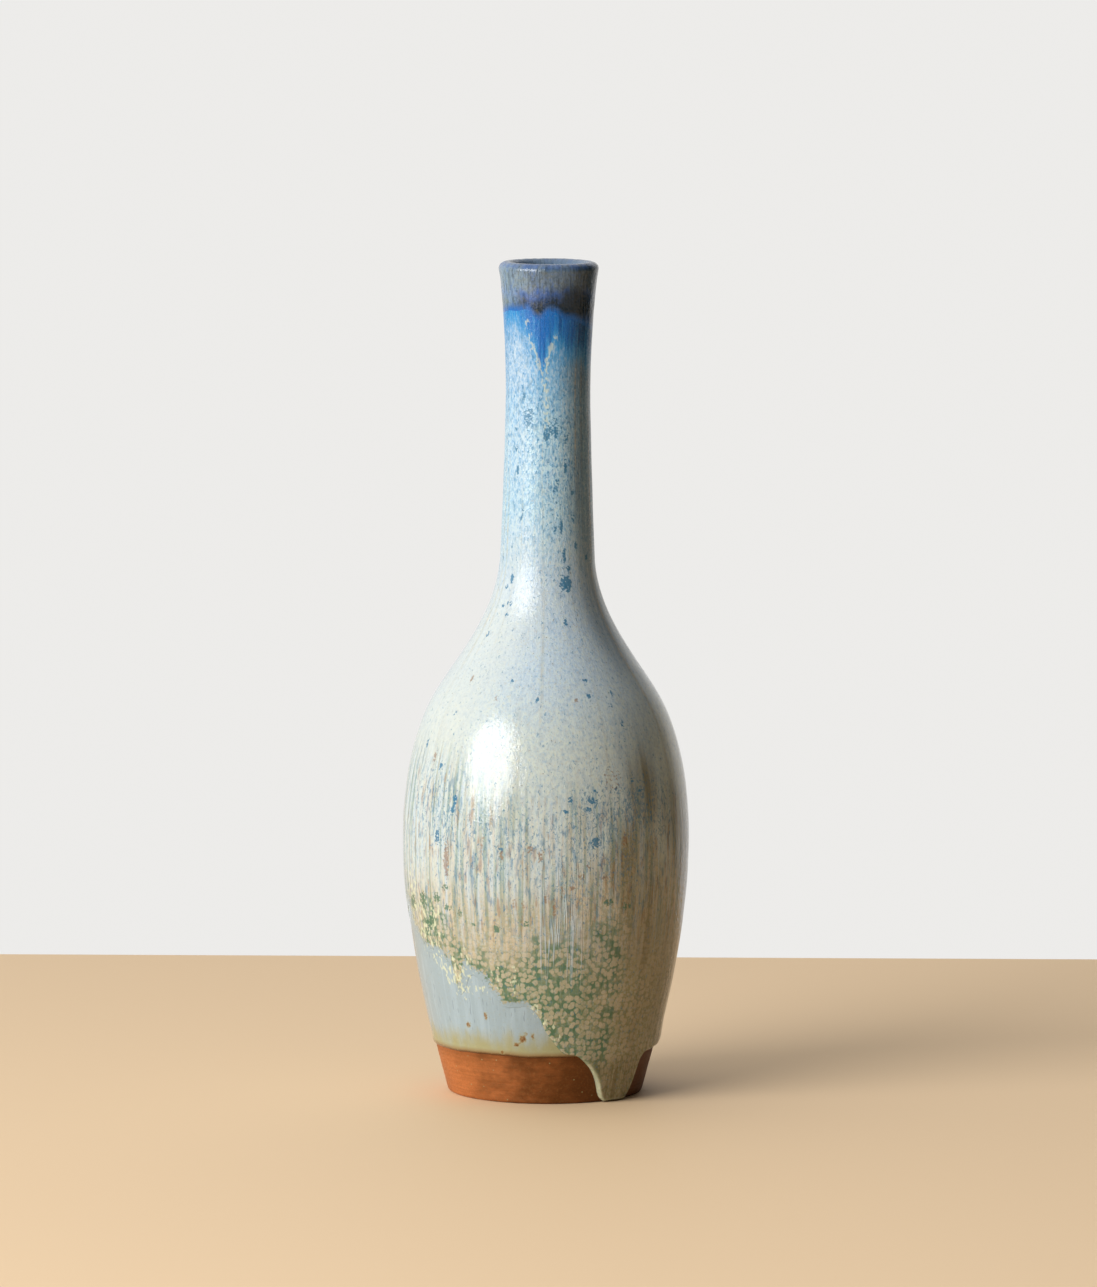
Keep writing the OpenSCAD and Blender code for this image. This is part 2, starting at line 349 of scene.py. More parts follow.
def trail(theta, r, z, points, wide):
    """How strongly a trickle through points (angle, height) covers each point, fading over
    its half width in millimetres on both sides of its straight pieces."""
    cover = np.zeros(np.broadcast(theta, z).shape)
    for (angle_a, z_a), (angle_b, z_b) in zip(points[:-1], points[1:]):
        share = np.clip((z - z_a) / (z_b - z_a), 0, 1)
        angle = angle_a + share * (angle_b - angle_a)
        turn = (np.degrees(theta) - angle + 180) % 360 - 180
        d = np.hypot(np.radians(turn) * r, z - (z_a + share * (z_b - z_a)))
        cover = np.maximum(cover, smooth(d, wide, 0.2 * wide))
    return cover


# ---- where things lie on the vase ----
# An edge or a limit is a list of stations (angle, value) all round the vase. Spots and patches
# are (angle, height, half width, half height, strength).

OVER_EDGE = [  # height of the second glaze's lower edge
    (-180, 27.0), (-166, 22.5), (-152, 24.5), (-140, 23.0), (-128, 29.0), (-116, 34.0),
    (-104, 33.5), (-92, 39.0), (-80, 42.5), (-72, 37.0), (-66, 34.2), (-57, 33.4), (-50, 32.2),
    (-46.5, 29.0), (-44, 25.8), (-39, 26.0), (-35.5, 29.6), (-30, 29.0), (-25, 26.2),
    (-20, 23.4), (-13, 22.9), (-7.5, 23.1), (-3.5, 21.2), (0.5, 17.6), (4.5, 14.8),
    (8, 12.7), (13, 11.6), (18, 11.0), (22.5, 9.2), (26.5, 6.9), (29.5, 4.3), (31.5, 1.9),
    (34, 0.7), (39, 0.45), (46, 0.5), (51, 0.8), (53.5, 2.2), (55.5, 5.0), (57.5, 8.4),
    (60, 10.2), (66, 10.9), (76, 11.4), (90, 12.5), (104, 15.5), (118, 16.0), (126, 14.0),
    (133, 10.9), (140, 14.5), (150, 21.0), (165, 24.0),
]
OVER_THIN = [  # how far the second glaze takes to thicken above its edge
    (-180, 1.4), (-110, 2.0), (-80, 4.0), (-60, 4.5), (-46, 4.0), (-30, 3.5), (-14, 2.6),
    (-2, 1.6), (6, 0.9), (20, 0.8), (50, 0.8), (90, 1.0), (140, 1.2),
]
LIP_EDGE = [  # rise of the lip glaze's lower edge above its level
    (-170, 0.9), (-140, -1.2), (-110, 0.8), (-80, 0.2), (-60, 0.9), (-42, 1.0), (-26, 1.3),
    (-13, -0.9), (2, 1.1), (11, 0.6), (20, -0.7), (34, -1.0), (56, -2.6), (85, -3.6),
    (105, -1.8), (130, -0.2), (155, -1.4),
]
COBALT_FOOT = [  # height at which the cobalt gives way to azure
    (-170, 173.5), (-130, 175.5), (-100, 175.0), (-75, 180.0), (-56, 181.5), (-40, 180.5),
    (-28, 177.4), (-18, 173.5), (-10, 168.5), (-3, 172.5), (6, 175.2), (18, 173.8), (30, 172.5),
    (48, 172.0), (70, 170.5), (95, 173.5), (125, 175.0), (150, 171.5),
]
CELL_TOP = [  # height up to which the sand crystals lie
    (-180, 50), (-120, 48), (-90, 50), (-76, 50), (-60, 47), (-40, 49), (-20, 46), (0, 47),
    (10, 50), (25, 56), (45, 59), (60, 56), (90, 52), (130, 50),
]
MOSS_TOP = [  # height up to which moss fills the gaps between the crystals
    (-180, 38), (-120, 42), (-76, 47), (-60, 47), (-50, 45), (-38, 39), (-28, 36), (-15, 35),
    (0, 38), (8, 40), (14, 42), (22, 44), (30, 43), (45, 38), (60, 34), (80, 34),
    (110, 34), (140, 36),
]
SPILLS = [  # straw-coloured trickles under the lip
    [(-29, 177.3), (-23, 172.5), (-17, 169.0), (-9, 166.2), (-4.8, 163.5), (-2, 158.0), (-3, 148.0)],
    [(9.3, 173.7), (1.6, 170.4), (-3.6, 167.5), (-4.0, 164.0)],
]
TEAL_SPOTS = [  # dark blue-green specks
    (-1.8, 151.0, 0.75, 1.1, 1.0), (-48, 152.4, 0.5, 0.5, 0.9), (-47, 147.8, 0.5, 0.7, 1.0),
    (-43, 143.1, 0.4, 1.7, 0.85), (11, 151.3, 0.5, 1.0, 0.85), (25, 150.5, 0.6, 1.1, 0.85),
    (13, 140.8, 0.5, 0.7, 0.95), (9.5, 138.8, 0.7, 0.6, 0.95), (23.6, 144.0, 0.45, 2.0, 0.8),
    (33.5, 138.2, 0.5, 1.3, 0.8), (34, 132.5, 0.5, 1.2, 0.8), (17.7, 130.4, 0.45, 1.6, 1.0),
    (9.5, 129.7, 0.45, 0.8, 0.9), (12.6, 136.1, 0.45, 0.5, 0.85), (-33, 133.9, 0.4, 0.9, 0.85),
    (-35, 132.0, 0.6, 0.5, 0.9), (21, 123.8, 0.4, 2.3, 0.85), (26, 121.0, 0.6, 0.8, 0.9),
    (21.6, 117.4, 1.5, 2.1, 0.95), (55, 123.2, 0.6, 1.0, 0.9), (-45, 118.3, 0.55, 1.1, 1.0),
    (-51, 116.2, 0.5, 0.6, 0.85), (-41, 112.7, 0.9, 0.6, 0.9), (-50, 111.9, 0.6, 0.6, 0.85),
    (-41, 110.0, 0.6, 0.5, 0.8), (17, 108.9, 0.5, 1.2, 0.85), (-69, 122.9, 0.4, 0.9, 0.8),
    (-49, 125.7, 0.4, 0.5, 0.8), (-27, 130.5, 0.4, 0.5, 0.7), (37, 126.1, 0.5, 1.1, 0.8),
    (-27, 155.0, 1.6, 3.2, 0.68), (-36, 160.0, 0.7, 2.0, 0.6), (5, 153.0, 2.5, 2.5, 0.6),
    (-20.6, 96.1, 0.5, 0.5, 1.0), (-5.1, 92.1, 0.5, 0.5, 1.0), (23, 96.3, 0.9, 0.5, 0.8),
    (23, 92.9, 0.7, 0.8, 0.85), (34, 90.7, 0.8, 0.5, 0.8), (37, 93.2, 0.5, 0.6, 0.75),
    (38, 86.9, 0.5, 1.1, 0.8), (-56, 105.5, 0.6, 0.8, 0.7), (-50, 88.4, 0.5, 0.5, 0.75),
    (-65, 81.0, 0.5, 1.8, 0.8), (-50.5, 76.8, 0.8, 1.1, 0.85), (-40, 69.8, 0.7, 1.2, 0.95),
    (-41, 67.6, 0.8, 1.2, 0.9), (-49, 61.0, 0.8, 2.0, 0.8), (8.2, 68.2, 0.7, 0.6, 0.95),
    (9.9, 70.9, 0.6, 1.0, 0.8), (30, 72.6, 0.7, 0.6, 0.85), (38, 74.5, 0.7, 0.9, 0.8),
    (42, 72.1, 0.7, 0.6, 0.8), (20, 61.0, 1.5, 1.4, 0.8), (-18, 59.5, 0.7, 0.8, 0.85),
    (19, 70.5, 1.5, 0.7, 0.85), (17.5, 68.5, 0.8, 0.8, 0.95), (20.5, 72.5, 0.6, 0.6, 0.9),
    (112, 140, 1.2, 2.2, 0.8), (-120, 131, 1.0, 1.8, 0.9), (175, 148, 0.8, 2.6, 0.85),
    (140, 117, 1.4, 1.6, 0.9), (-150, 112, 0.9, 1.3, 0.9), (-105, 92, 0.8, 0.7, 0.9),
    (160, 88, 0.7, 0.9, 0.9), (95, 84, 0.9, 1.2, 0.8), (-170, 70, 1.3, 1.4, 0.8),
]
TEAL_BELT = [  # patches of fine teal specks
    (-18, 63, 14, 6, 0.5), (21, 67, 7, 7, 0.66), (38, 68.5, 6.5, 6.5, 0.9), (-44, 65, 6, 9, 0.62),
    (-58, 70, 6, 8, 0.5), (20, 60, 8, 7, 0.6), (0, 60, 16, 8, 0.4), (-30, 57, 9, 9, 0.4),
    (32, 58, 7, 8, 0.55), (52, 66, 5, 9, 0.7), (12, 52, 10, 6, 0.4), (-14, 152, 4, 10, 0.3),
    (15, 132, 3, 16, 0.3), (-30, 152, 3, 10, 0.3), (30, 146, 3, 18, 0.3), (-110, 66, 14, 9, 0.6),
    (160, 64, 18, 8, 0.6), (105, 62, 10, 9, 0.5), (-150, 140, 5, 18, 0.3), (130, 138, 5, 18, 0.3),
]
RUST_SPOTS = [  # short iron streaks in the second glaze
    (-56, 78.8, 0.7, 2.0, 0.75), (-43.8, 55.7, 0.9, 4.6, 0.9), (-49, 95.8, 0.5, 1.1, 0.7),
    (-27.7, 92.2, 0.5, 0.9, 0.6), (15.5, 92.2, 0.5, 1.1, 0.75), (10.7, 50.9, 0.8, 0.7, 1.0),
    (0, 48.5, 0.5, 0.9, 0.95), (13.9, 53.4, 1.2, 0.5, 0.8), (24.3, 53.1, 1.0, 0.6, 0.8),
    (6.7, 50.5, 0.5, 2.2, 0.85), (-6.4, 59.7, 0.6, 1.4, 0.8), (-2.1, 58.1, 0.7, 1.6, 0.75),
    (33, 61.2, 0.9, 1.6, 0.8), (-18, 57.9, 0.7, 1.3, 0.8), (-9, 46.5, 0.5, 2.2, 0.7),
    (-26, 60.5, 0.6, 2.6, 0.6), (3.5, 46.2, 0.45, 3.0, 0.75), (28, 75, 3.0, 3.0, 0.45),
    (-13, 47.0, 0.5, 1.6, 0.6), (17, 56.0, 0.6, 1.2, 0.6), (-90, 62, 0.9, 4.0, 0.8),
    (120, 70, 0.8, 3.5, 0.8), (-140, 58, 1.0, 3.0, 0.8), (175, 56, 0.8, 3.8, 0.8),
]
MOSS_DOTS = [  # single green dots above the net
    (-37.3, 44.1, 0.8, 0.8, 1.0), (-20.4, 41.3, 0.95, 0.95, 1.0), (-31, 41.8, 0.8, 0.5, 0.8),
    (-8.0, 42.6, 0.9, 0.9, 0.7), (-60, 46.0, 1.6, 2.2, 0.8), (-56, 41.0, 1.8, 1.8, 0.9),
    (-50, 47.0, 1.2, 1.4, 0.8), (-70, 45.0, 1.6, 2.2, 0.8), (-45, 49.8, 1.2, 0.6, 0.8),
    (-44, 45.2, 1.4, 0.8, 0.8), (26, 47.5, 1.4, 1.0, 0.8), (35, 46.0, 1.5, 1.0, 0.7),
]
CRYSTALS = [  # clumps of straw-coloured crystals
    (-56, 35.5, 2.6, 3.0, 0.8), (-51, 32.0, 2.4, 2.6, 0.8), (-45.5, 29.5, 2.2, 4.4, 0.95),
    (-39, 28.5, 2.6, 4.0, 1.0), (-35.8, 33.0, 2.4, 3.4, 0.75), (-62, 41.0, 3.4, 7.0, 0.9),
    (-70, 45.0, 3.0, 8.0, 0.95), (-52, 41.0, 2.6, 5.0, 0.8), (-5.2, 23.4, 1.6, 1.0, 0.85),
    (-2.4, 21.6, 1.4, 1.2, 0.9), (0.4, 19.9, 1.3, 1.3, 0.9), (2.8, 18.0, 1.2, 1.2, 0.9),
    (5.2, 16.4, 1.1, 1.2, 0.9), (-29.9, 26.7, 2.6, 1.0, 0.8), (-22, 30.5, 1.4, 4.0, 0.6),
    (-14, 30, 1.2, 4.0, 0.55), (-85, 44.0, 3.0, 5.0, 0.7), (-100, 36.0, 3.0, 4.0, 0.7),
    (-125, 31.0, 3.0, 4.0, 0.7), (150, 23.0, 3.0, 3.0, 0.7), (-160, 26, 3.0, 3.0, 0.6),
]
VEIL_AND_SHADE = [  # brown veil over the belly and the low right side: mostly painted shade and painted warm bounce from the floor, with some of the glaze's own brown
    (44, 71, 4.0, 9.0, 0.8), (64, 60, 6.0, 14.0, 0.38), (48, 42, 8.0, 14.0, 0.9),
    (39, 55, 6.0, 11.0, 0.85), (75, 50, 9.0, 20.0, 0.7), (66, 30, 9.0, 18.0, 1.0), (50, 20, 6.0, 12.0, 0.5),
    (100, 48, 14.0, 18.0, 0.6), (-100, 58, 8, 12, 0.4), (170, 50, 16, 12, 0.5),
]
PAINTED_SHADE = [  # painted shade in grey down the right side of the neck and onto the belly
    (62, 168, 5.5, 16.0, 0.85), (60, 142, 5.5, 26.0, 0.75), (64, 110, 6.5, 14.0, 0.5),
    (43, 80, 6.0, 10.0, 0.38),
]
FROST = [  # where the blue of the neck is thin
    (-50, 167, 3.6, 9.0, 0.75), (-46, 150, 3.5, 14.0, 0.5), (-42, 124, 3.5, 12.0, 0.4),
    (-56, 98, 12.0, 22.0, 0.5), (120, 160, 4.0, 12.0, 0.5), (-160, 150, 4.0, 18.0, 0.5),
]
INK_AND_SHADE_PATCHES = [  # darkest parts of the lip glaze; those on the right side are partly painted shade
    (36, 181, 4.0, 5.0, 1.0), (16, 181, 4.0, 4.0, 0.5), (-9, 179.5, 4.0, 3.0, 0.3),
    (58, 185, 5.0, 8.0, 0.55), (150, 182, 5.0, 4.0, 0.8), (-140, 181, 4.0, 3.0, 0.7),
]
PALE_PATCHES = [  # lip glaze that has run thin
    (-66, 183, 4.5, 6.5, 1.0), (-42, 186, 3.5, 2.5, 0.6), (100, 186, 4.0, 3.0, 0.6),
    (-170, 187, 4.0, 2.0, 0.6),
]
TOAST_AND_SHADE = [  # how dark the clay is: partly the kiln's toasting, partly painted shade, lightest towards the window on the front left and darkest on the right
    (-180, 0.5), (-130, 0.3), (-90, 0.15), (-55, 0.05), (-35, 0.3), (-12, 0.62), (6, 0.66),
    (24, 0.9), (50, 1.0), (90, 0.9), (135, 0.6),
]
IRON_SPOTS = [  # on the bare base glaze
    (-40, 18.0, 0.65, 0.65, 1.0), (-29.3, 20.6, 0.4, 1.0, 0.85), (-11.0, 15.6, 0.9, 0.9, 1.0),
    (-14.2, 14.2, 0.7, 0.5, 1.0), (-6.0, 16.2, 0.35, 0.9, 0.85), (-21.9, 12.3, 0.7, 0.5, 0.9),
    (-9.5, 16.8, 0.5, 0.5, 0.8), (-90, 20.0, 0.8, 0.9, 1.0), (-118, 17.0, 0.6, 0.9, 0.9),
    (-147, 15.0, 0.9, 0.6, 1.0), (172, 17.0, 0.6, 1.0, 0.9), (146, 14.0, 0.7, 0.7, 0.9),
]


# ---- meshes ----


def angles():
    """The angle of every column from the front, in radians, as a column."""
    return (np.arange(AROUND) / AROUND * 2 * np.pi - np.pi)[:, None]


def turned(theta, r, z):
    """Points of a turned form: across, away and up."""
    return np.stack(np.broadcast_arrays(r * np.sin(theta), -r * np.cos(theta), z), axis=-1)


def flow(theta, s):
    """A point on a straight cylinder for each angle and each length along the wall, so that a
    finish can stretch its streaks down the wall and still close round the back."""
    return turned(theta, FLOW_RADIUS, s + 0 * theta)


def closed_form(name, front, back, notes, poles=False, share=0.9):
    """A closed piece from columns of points that run up the outside (front) and back down
    behind it (back). It closes from its last row to its first, or with poles=True by a fan
    at each end. notes holds what the finish reads at each point, for front and back, and share
    is the part of the bake map that the front takes."""
    grid = np.concatenate([front, back], axis=1)
    columns, rows = grid.shape[:2]
    i = np.arange(columns)[:, None]
    n = (i + 1) % columns
    j = np.arange(rows - 1 if poles else rows)[None, :]
    up = (j + 1) % rows
    quads = np.stack([i * rows + j, n * rows + j, n * rows + up, i * rows + up], axis=-1)
    left, right = i / columns + 0 * j, (i + 1) / columns + 0 * j
    v = bake_rows(front, back, poles, share)
    low, high = v[j] + 0 * i, v[j + 1] + 0 * i
    quad_uv = np.stack([left, low, right, low, right, high, left, high], axis=-1)
    points, corners, uv = grid.reshape(-1, 3), quads.reshape(-1), quad_uv.reshape(-1)
    if not np.isfinite(points).all():
        raise ValueError(f"{name} can't be worked out from these sizes")
    counts = np.full(quads.shape[0] * quads.shape[1], 4)
    if poles:
        ends = np.stack([grid[:, 0].mean(0), grid[:, -1].mean(0)]) * [0, 0, 1]
        points = np.vstack([points, ends])
        i, n = i[:, 0], n[:, 0]
        middle = (i + 0.5) / columns
        first = np.stack([np.full(columns, columns * rows), n * rows, i * rows], axis=1)
        last = np.stack([first[:, 0] + 1, (i + 1) * rows - 1, (n + 1) * rows - 1], axis=1)
        left, right, one = i / columns, (i + 1) / columns, np.ones(columns)
        first_uv = np.stack([middle, 0 * one, right, v[0] * one, left, v[0] * one], axis=1)
        last_uv = np.stack([middle, one, left, v[-1] * one, right, v[-1] * one], axis=1)
        corners = np.concatenate([corners, first.reshape(-1), last.reshape(-1)])
        uv = np.concatenate([uv, first_uv.reshape(-1), last_uv.reshape(-1)])
        counts = np.concatenate([counts, np.full(2 * columns, 3)])
    obj = mesh_object(name, points, corners, counts, uv)
    for key, (outer, inner) in notes.items():
        both = np.concatenate([outer, inner], axis=1)
        values = both.reshape(-1, *both.shape[2:])
        if poles:
            values = np.concatenate([values, both[:, 0].mean(0)[None], both[:, -1].mean(0)[None]])
        wide = values.ndim > 1
        layer = obj.data.attributes.new(key, "FLOAT_VECTOR" if wide else "FLOAT", "POINT")
        layer.data.foreach_set("vector" if wide else "value", values.astype(np.float32).ravel())
    return obj


def bake_rows(front, back, poles, share):
    """How far up the bake map each row of points lies: a share of the map is spread over the
    front rows by their spacing, and the rest evenly over the rows behind."""
    start, end = (0.01, 0.99) if poles else (0.0, 1.0)
    step = np.linalg.norm(np.diff(front[0], axis=0), axis=1) + 1e-4
    walk = np.concatenate([[0], np.cumsum(step)])
    fore = start + (share - start) * walk / walk[-1]
    aft = np.linspace(share, end, back.shape[1] + (1 if poles else 2))[1:]
    return np.concatenate([fore, aft])


def mesh_object(name, points, corners, counts, uv):
    """A smooth-shaded object in metres, with its bake map."""
    mesh = bpy.data.meshes.new(name)
    mesh.vertices.add(len(points))
    mesh.vertices.foreach_set("co", (points * MM).astype(np.float32).ravel())
    mesh.loops.add(len(corners))
    mesh.loops.foreach_set("vertex_index", corners.astype(np.int32))
    mesh.polygons.add(len(counts))
    starts = np.concatenate([[0], np.cumsum(counts)[:-1]])
    mesh.polygons.foreach_set("loop_start", starts.astype(np.int32))
    mesh.polygons.foreach_set("use_smooth", np.ones(len(counts), bool))
    mesh.update(calc_edges=True)
    layer = mesh.uv_layers.new(name="OFBake")
    layer.uv.foreach_set("vector", uv.astype(np.float32).ravel())
    obj = bpy.data.objects.new(name, mesh)
    bpy.context.scene.collection.objects.link(obj)
    return obj


def edge_gap(s, s_edge, r_edge):
    """Distance of each point from an edge that rises and falls round the vase: its length
    above the edge, shortened by the edge's own slope."""
    step = 2 * np.pi / AROUND
    slope = (np.roll(s_edge, -1, 0) - np.roll(s_edge, 1, 0)) / (2 * step * r_edge)
    return (s - s_edge) / np.sqrt(1 + slope**2)


def hand(theta, s, size):
    """The thrower's hand: slow hollows and faint rings in the wall, that ease out towards the
    rim. They lie inside the profile."""
    ease, ring_step = 30, 1.9
    hollow = 0.08 * field(theta, s, 60, 50, 3) - 0.1
    ring = 0.015 * np.sin(s / ring_step + 0.6 * np.sin(theta))
    return (hollow + ring) * smooth(s, size["height"], size["height"] - ease)


def finish_piece(obj, node, material):
    """Puts a piece in place of its CAD node, in the vase's one body."""
    obj.data.materials.append(material)
    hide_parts(node)
    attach(obj, "root")


# ---- the pieces ----


def overglaze_zones(theta, s, r, z, gap):
    """What the second glaze's finish reads: where each colour and texture lies. A limit at a
    height gives a share that eases from 1 to 0 across it."""
    turn = np.degrees(theta) + 0 * z
    cobalt_foot = around(COBALT_FOOT, theta)
    cell_top = around(CELL_TOP, theta)
    moss_top = around(MOSS_TOP, theta)
    width = around(OVER_THIN, theta)
    left = smooth(turn, -15, -45) * smooth(turn, -170, -100)
    right = smooth(turn, 22, 48) * smooth(turn, 130, 90)
    streak_top = 78 + 8 * left
    moss_foot = 8 + 6 * smooth(turn, 26, 34)
    spill = np.maximum(trail(theta, r, z, SPILLS[0], 1.1), trail(theta, r, z, SPILLS[1], 1.0))
    frayed = gap + 0.8 * field(theta, s, 2.2, 2.2, 51)
    return {
        "flow": flow(theta, s),
        "cobalt": smooth(z, cobalt_foot - 10, cobalt_foot + 4.5),
        "spill": spill * smooth(z, 146, 156),
        "teal": marks(theta, r, z, TEAL_SPOTS),
        "teal_belt": marks(theta, r, z, TEAL_BELT),
        "rust": marks(theta, r, z, RUST_SPOTS),
        "moss_dots": marks(theta, r, z, MOSS_DOTS),
        "crystal": marks(theta, r, z, CRYSTALS),
        # veil: mostly painted shade and painted warm bounce on the right side, with some of the glaze's own
        # brown
        "veil": marks(theta, r, z, VEIL_AND_SHADE),
        "frost": marks(theta, r, z, FROST),
        # painted shade down the right side of the neck
        "dusk": marks(theta, r, z, PAINTED_SHADE),
        "streaks": smooth(z, 30, 46) * smooth(z, streak_top, streak_top - 16),
        "cells": smooth(z, cell_top + 9, cell_top - 7),
        "moss": smooth(z, moss_top + 8, moss_top - 6) * (1 - 0.7 * right) * smooth(z, 1, moss_foot),
        "threads": smooth(z, 25, 36) * smooth(z, 60, 50) * smooth(abs(turn - 7), 14, 6),
        "thin": (1 - smooth(frayed, 0, 1.1 * width)) * smooth(width, 1.0, 2.6),
        "run": smooth(z, 12.5, 7.5),
        "edge": gap,
    }


def overglaze(size, outside):
    """The second glaze. Rows run up the wall from its ragged lower edge, which rolls over, to
    the lip glaze; below the pooling height it thickens into the run. Where the edge is slow to
    thicken, the coat eases in over that width, and elsewhere it is a quarter round."""
    theta = angles()
    line = Line(outside)
    skin, skin_round, run_gap = 0.07, 0.1, 0.4
    z_edge = around(OVER_EDGE, theta) + 0.25 * field(theta, 0 * theta, 2.2, 40, 5)
    z_edge = np.maximum(z_edge, run_gap)
    z_top = size["height"] - size["lip_drop"] + around(LIP_EDGE, theta)
    s_edge, s_top = line.reach(z_edge), line.reach(z_top)
    r_edge = line.spot(s_edge)[0]
    near = np.array([0, 0.03, 0.08, 0.16, 0.27, 0.42, 0.6, 0.85, 1.15, 1.5, 2.0, 2.6, 3.3])
    last = np.array([0.06, 0.02, 0])
    far = s_edge + near[-1] + (s_top - s_edge - near[-1]) * np.linspace(0, 1, 174)[1:-1]
    s = np.concatenate([s_edge + near, far, s_top - last], axis=1)
    s_back = s_edge + (s_top - s_edge) * np.linspace(1, 0, 26)[:-1]
    width = around(OVER_THIN, theta)

    def under(z):
        return size["base_t"] * smooth(z, size["glaze_line"] - 0.6, size["glaze_line"])

    r, z = line.spot(s)
    gap = edge_gap(s, s_edge, r_edge)
    pool = 1.5 * size["glaze_line"]
    pooled = size["run_bulge"] * np.clip((pool - z) / (0.7 * pool), 0, 1)
    roll = 0.22 * np.exp(-gap / 1.6) * smooth(width, 2.4, 1.0)
    ribs = 0.05 * smooth(z, 95, 45) * field(theta, s, 2.6, 60, 11)
    ribs = (ribs + 0.02 * field(theta, s, 3.5, 5, 12)) * smooth(s_top - s, 0, 4)
    body = size["coats"] - under(z) + pooled + roll + ribs - skin
    slow = smooth(width, 1.4, 2.6)
    share = (1 - slow) * rounded(gap, np.minimum(width, 1.0)) + slow * smooth(gap, 0, width)
    out = under(z) + skin * rounded(gap, skin_round) + body * share
    outer = turned(theta, *line.spot(s, out + hand(theta, s, size)))
    r_b, z_b = line.spot(s_back)
    inner = turned(theta, *line.spot(s_back, under(z_b) + hand(theta, s_back, size)))
    front = overglaze_zones(theta, s, r, z, gap)
    behind = overglaze_zones(theta, s_back, r_b, z_b, edge_gap(s_back, s_edge, r_edge))
    return closed_form("overglaze_coat", outer, inner, {k: (front[k], behind[k]) for k in front})


def lip_glaze(size, outside, inside):
    """The lip glaze. Rows run up the neck from its waved edge, over the rim and into the
    mouth, where it thins out."""
    theta = angles()
    rim = Line(np.vstack([outside, inside[1:]]))
    crest = rim.at[rim.summit]
    z_low = size["height"] - size["lip_drop"] + around(LIP_EDGE, theta)
    s_low = rim.reach(z_low)
    s_end = crest + (size["lip_inside"] - size["coats"]) * MOUTH_ARC
    rise = s_end - s_low
    s = np.concatenate([s_low + [0, 0.02, 0.06], s_low + rise * np.linspace(0, 1, 81)[1:]], axis=1)
    s_back = s_low + rise * np.linspace(1, 0, 26)[1:]
    lump = (0.04 * field(theta, s, 3.0, 3.0, 21) - 0.05) * smooth(s, s_low, s_low + 4)
    out = size["base_t"] + (size["over_t"] + lump) * rounded(s_end - s, 0.8)
    outer = turned(theta, *rim.spot(s, out + hand(theta, s, size)))
    inner = turned(theta, *rim.spot(s_back, size["base_t"] + hand(theta, s_back, size)))
    notes = {
        "flow": (flow(theta, s), flow(theta, s_back)),
        "above_edge": (s - s_low, s_back - s_low),
        "dark": (marks(theta, *rim.spot(s), INK_AND_SHADE_PATCHES), 0 * s_back),
        "pale": (marks(theta, *rim.spot(s), PALE_PATCHES), 0 * s_back),
        "mouth": (smooth(s, crest - 0.4, crest + 1.2), 0 * s_back),
    }
    return closed_form("lip_coat", outer, inner, notes)


def base_glaze(size, outside, inside):
    """The base glaze. Rows run up from an uneven glaze line with a thick bead, under the
    other coats, over the rim and into the mouth."""
    theta = angles()
    rim = Line(np.vstack([outside, inside[1:]]))
    seen_top = 48  # above this the second glaze covers it
    z_low = size["glaze_line"] + 0.3 * field(theta, 0 * theta, 9, 40, 31, 3) + 0.12
    s_low = rim.reach(z_low)
    s_end = rim.at[rim.summit] + (size["lip_inside"] - size["coats"]) * MOUTH_ARC
    s_seen = rim.reach(seen_top)
    near = s_low + np.array([0, 0.03, 0.08, 0.15, 0.25, 0.38, 0.55, 0.8, 1.1, 1.5])
    fine = near[:, -1:] + (s_seen - near[:, -1:]) * np.linspace(0, 1, 76)[1:]
    far = s_seen + (s_end - s_seen) * np.linspace(0, 1, 46)[1:] + 0 * theta
    s = np.concatenate([near, fine, far], axis=1)
    s_back = s_low + (s_end - s_low) * np.linspace(1, 0, 60)[:-1]
    r, z = rim.spot(s)
    r_low = rim.spot(s_low)[0]
    gap = edge_gap(s, s_low, r_low)
    seen = smooth(s, s_seen + 4, s_seen)
    bead = 0.16 * np.exp(-(((gap - 0.7) / 0.8) ** 2)) + 0.02 * field(theta, s, 4, 9, 33)
    out = (size["base_t"] + bead * seen) * rounded(gap, 0.7)
    outer = turned(theta, *rim.spot(s, out + hand(theta, s, size)))
    inner = turned(theta, *rim.spot(s_back, hand(theta, s_back, size)))
    notes = {
        "flow": (flow(theta, s), flow(theta, s_back)),
        "edge": (gap, edge_gap(s_back, s_low, r_low)),
        "iron": (marks(theta, r, z, IRON_SPOTS), 0 * s_back),
        "crystal": (marks(theta, r, z, CRYSTALS), 0 * s_back),
    }
    return closed_form("base_coat", outer, inner, notes)


def underside(size, first):
    """The line of the underside, from near the middle of the hollow, round its fillet, over the
    ring and round the edge of the foot to the first point of the wall."""
    foot_r = size["foot_d"] / 2
    ring_out = foot_r - FOOT_ROUND
    ring_in = ring_out - size["ring_w"]
    hollow = size["recess"]
    fillet = curve(
        np.array([ring_in - 3.2, hollow]),
        np.array([ring_in - 1.6, hollow]),
        np.array([ring_in - 1.2, 0.2]),
        np.array([ring_in, 0.03]),
        8,
    )
    edge = curve(
        np.array([ring_out, 0.0]),
        np.array([foot_r - 0.2, 0.0]),
        first - [0.1, 0.45],
        first,
        6,
    )
    flat = np.linspace([0.5, hollow], [ring_in - 3.2, hollow], 12)
    ring = np.linspace([ring_in + 0.3, 0.0], [ring_out, 0.0], 5)
    return np.vstack([flat, fillet, ring, edge])


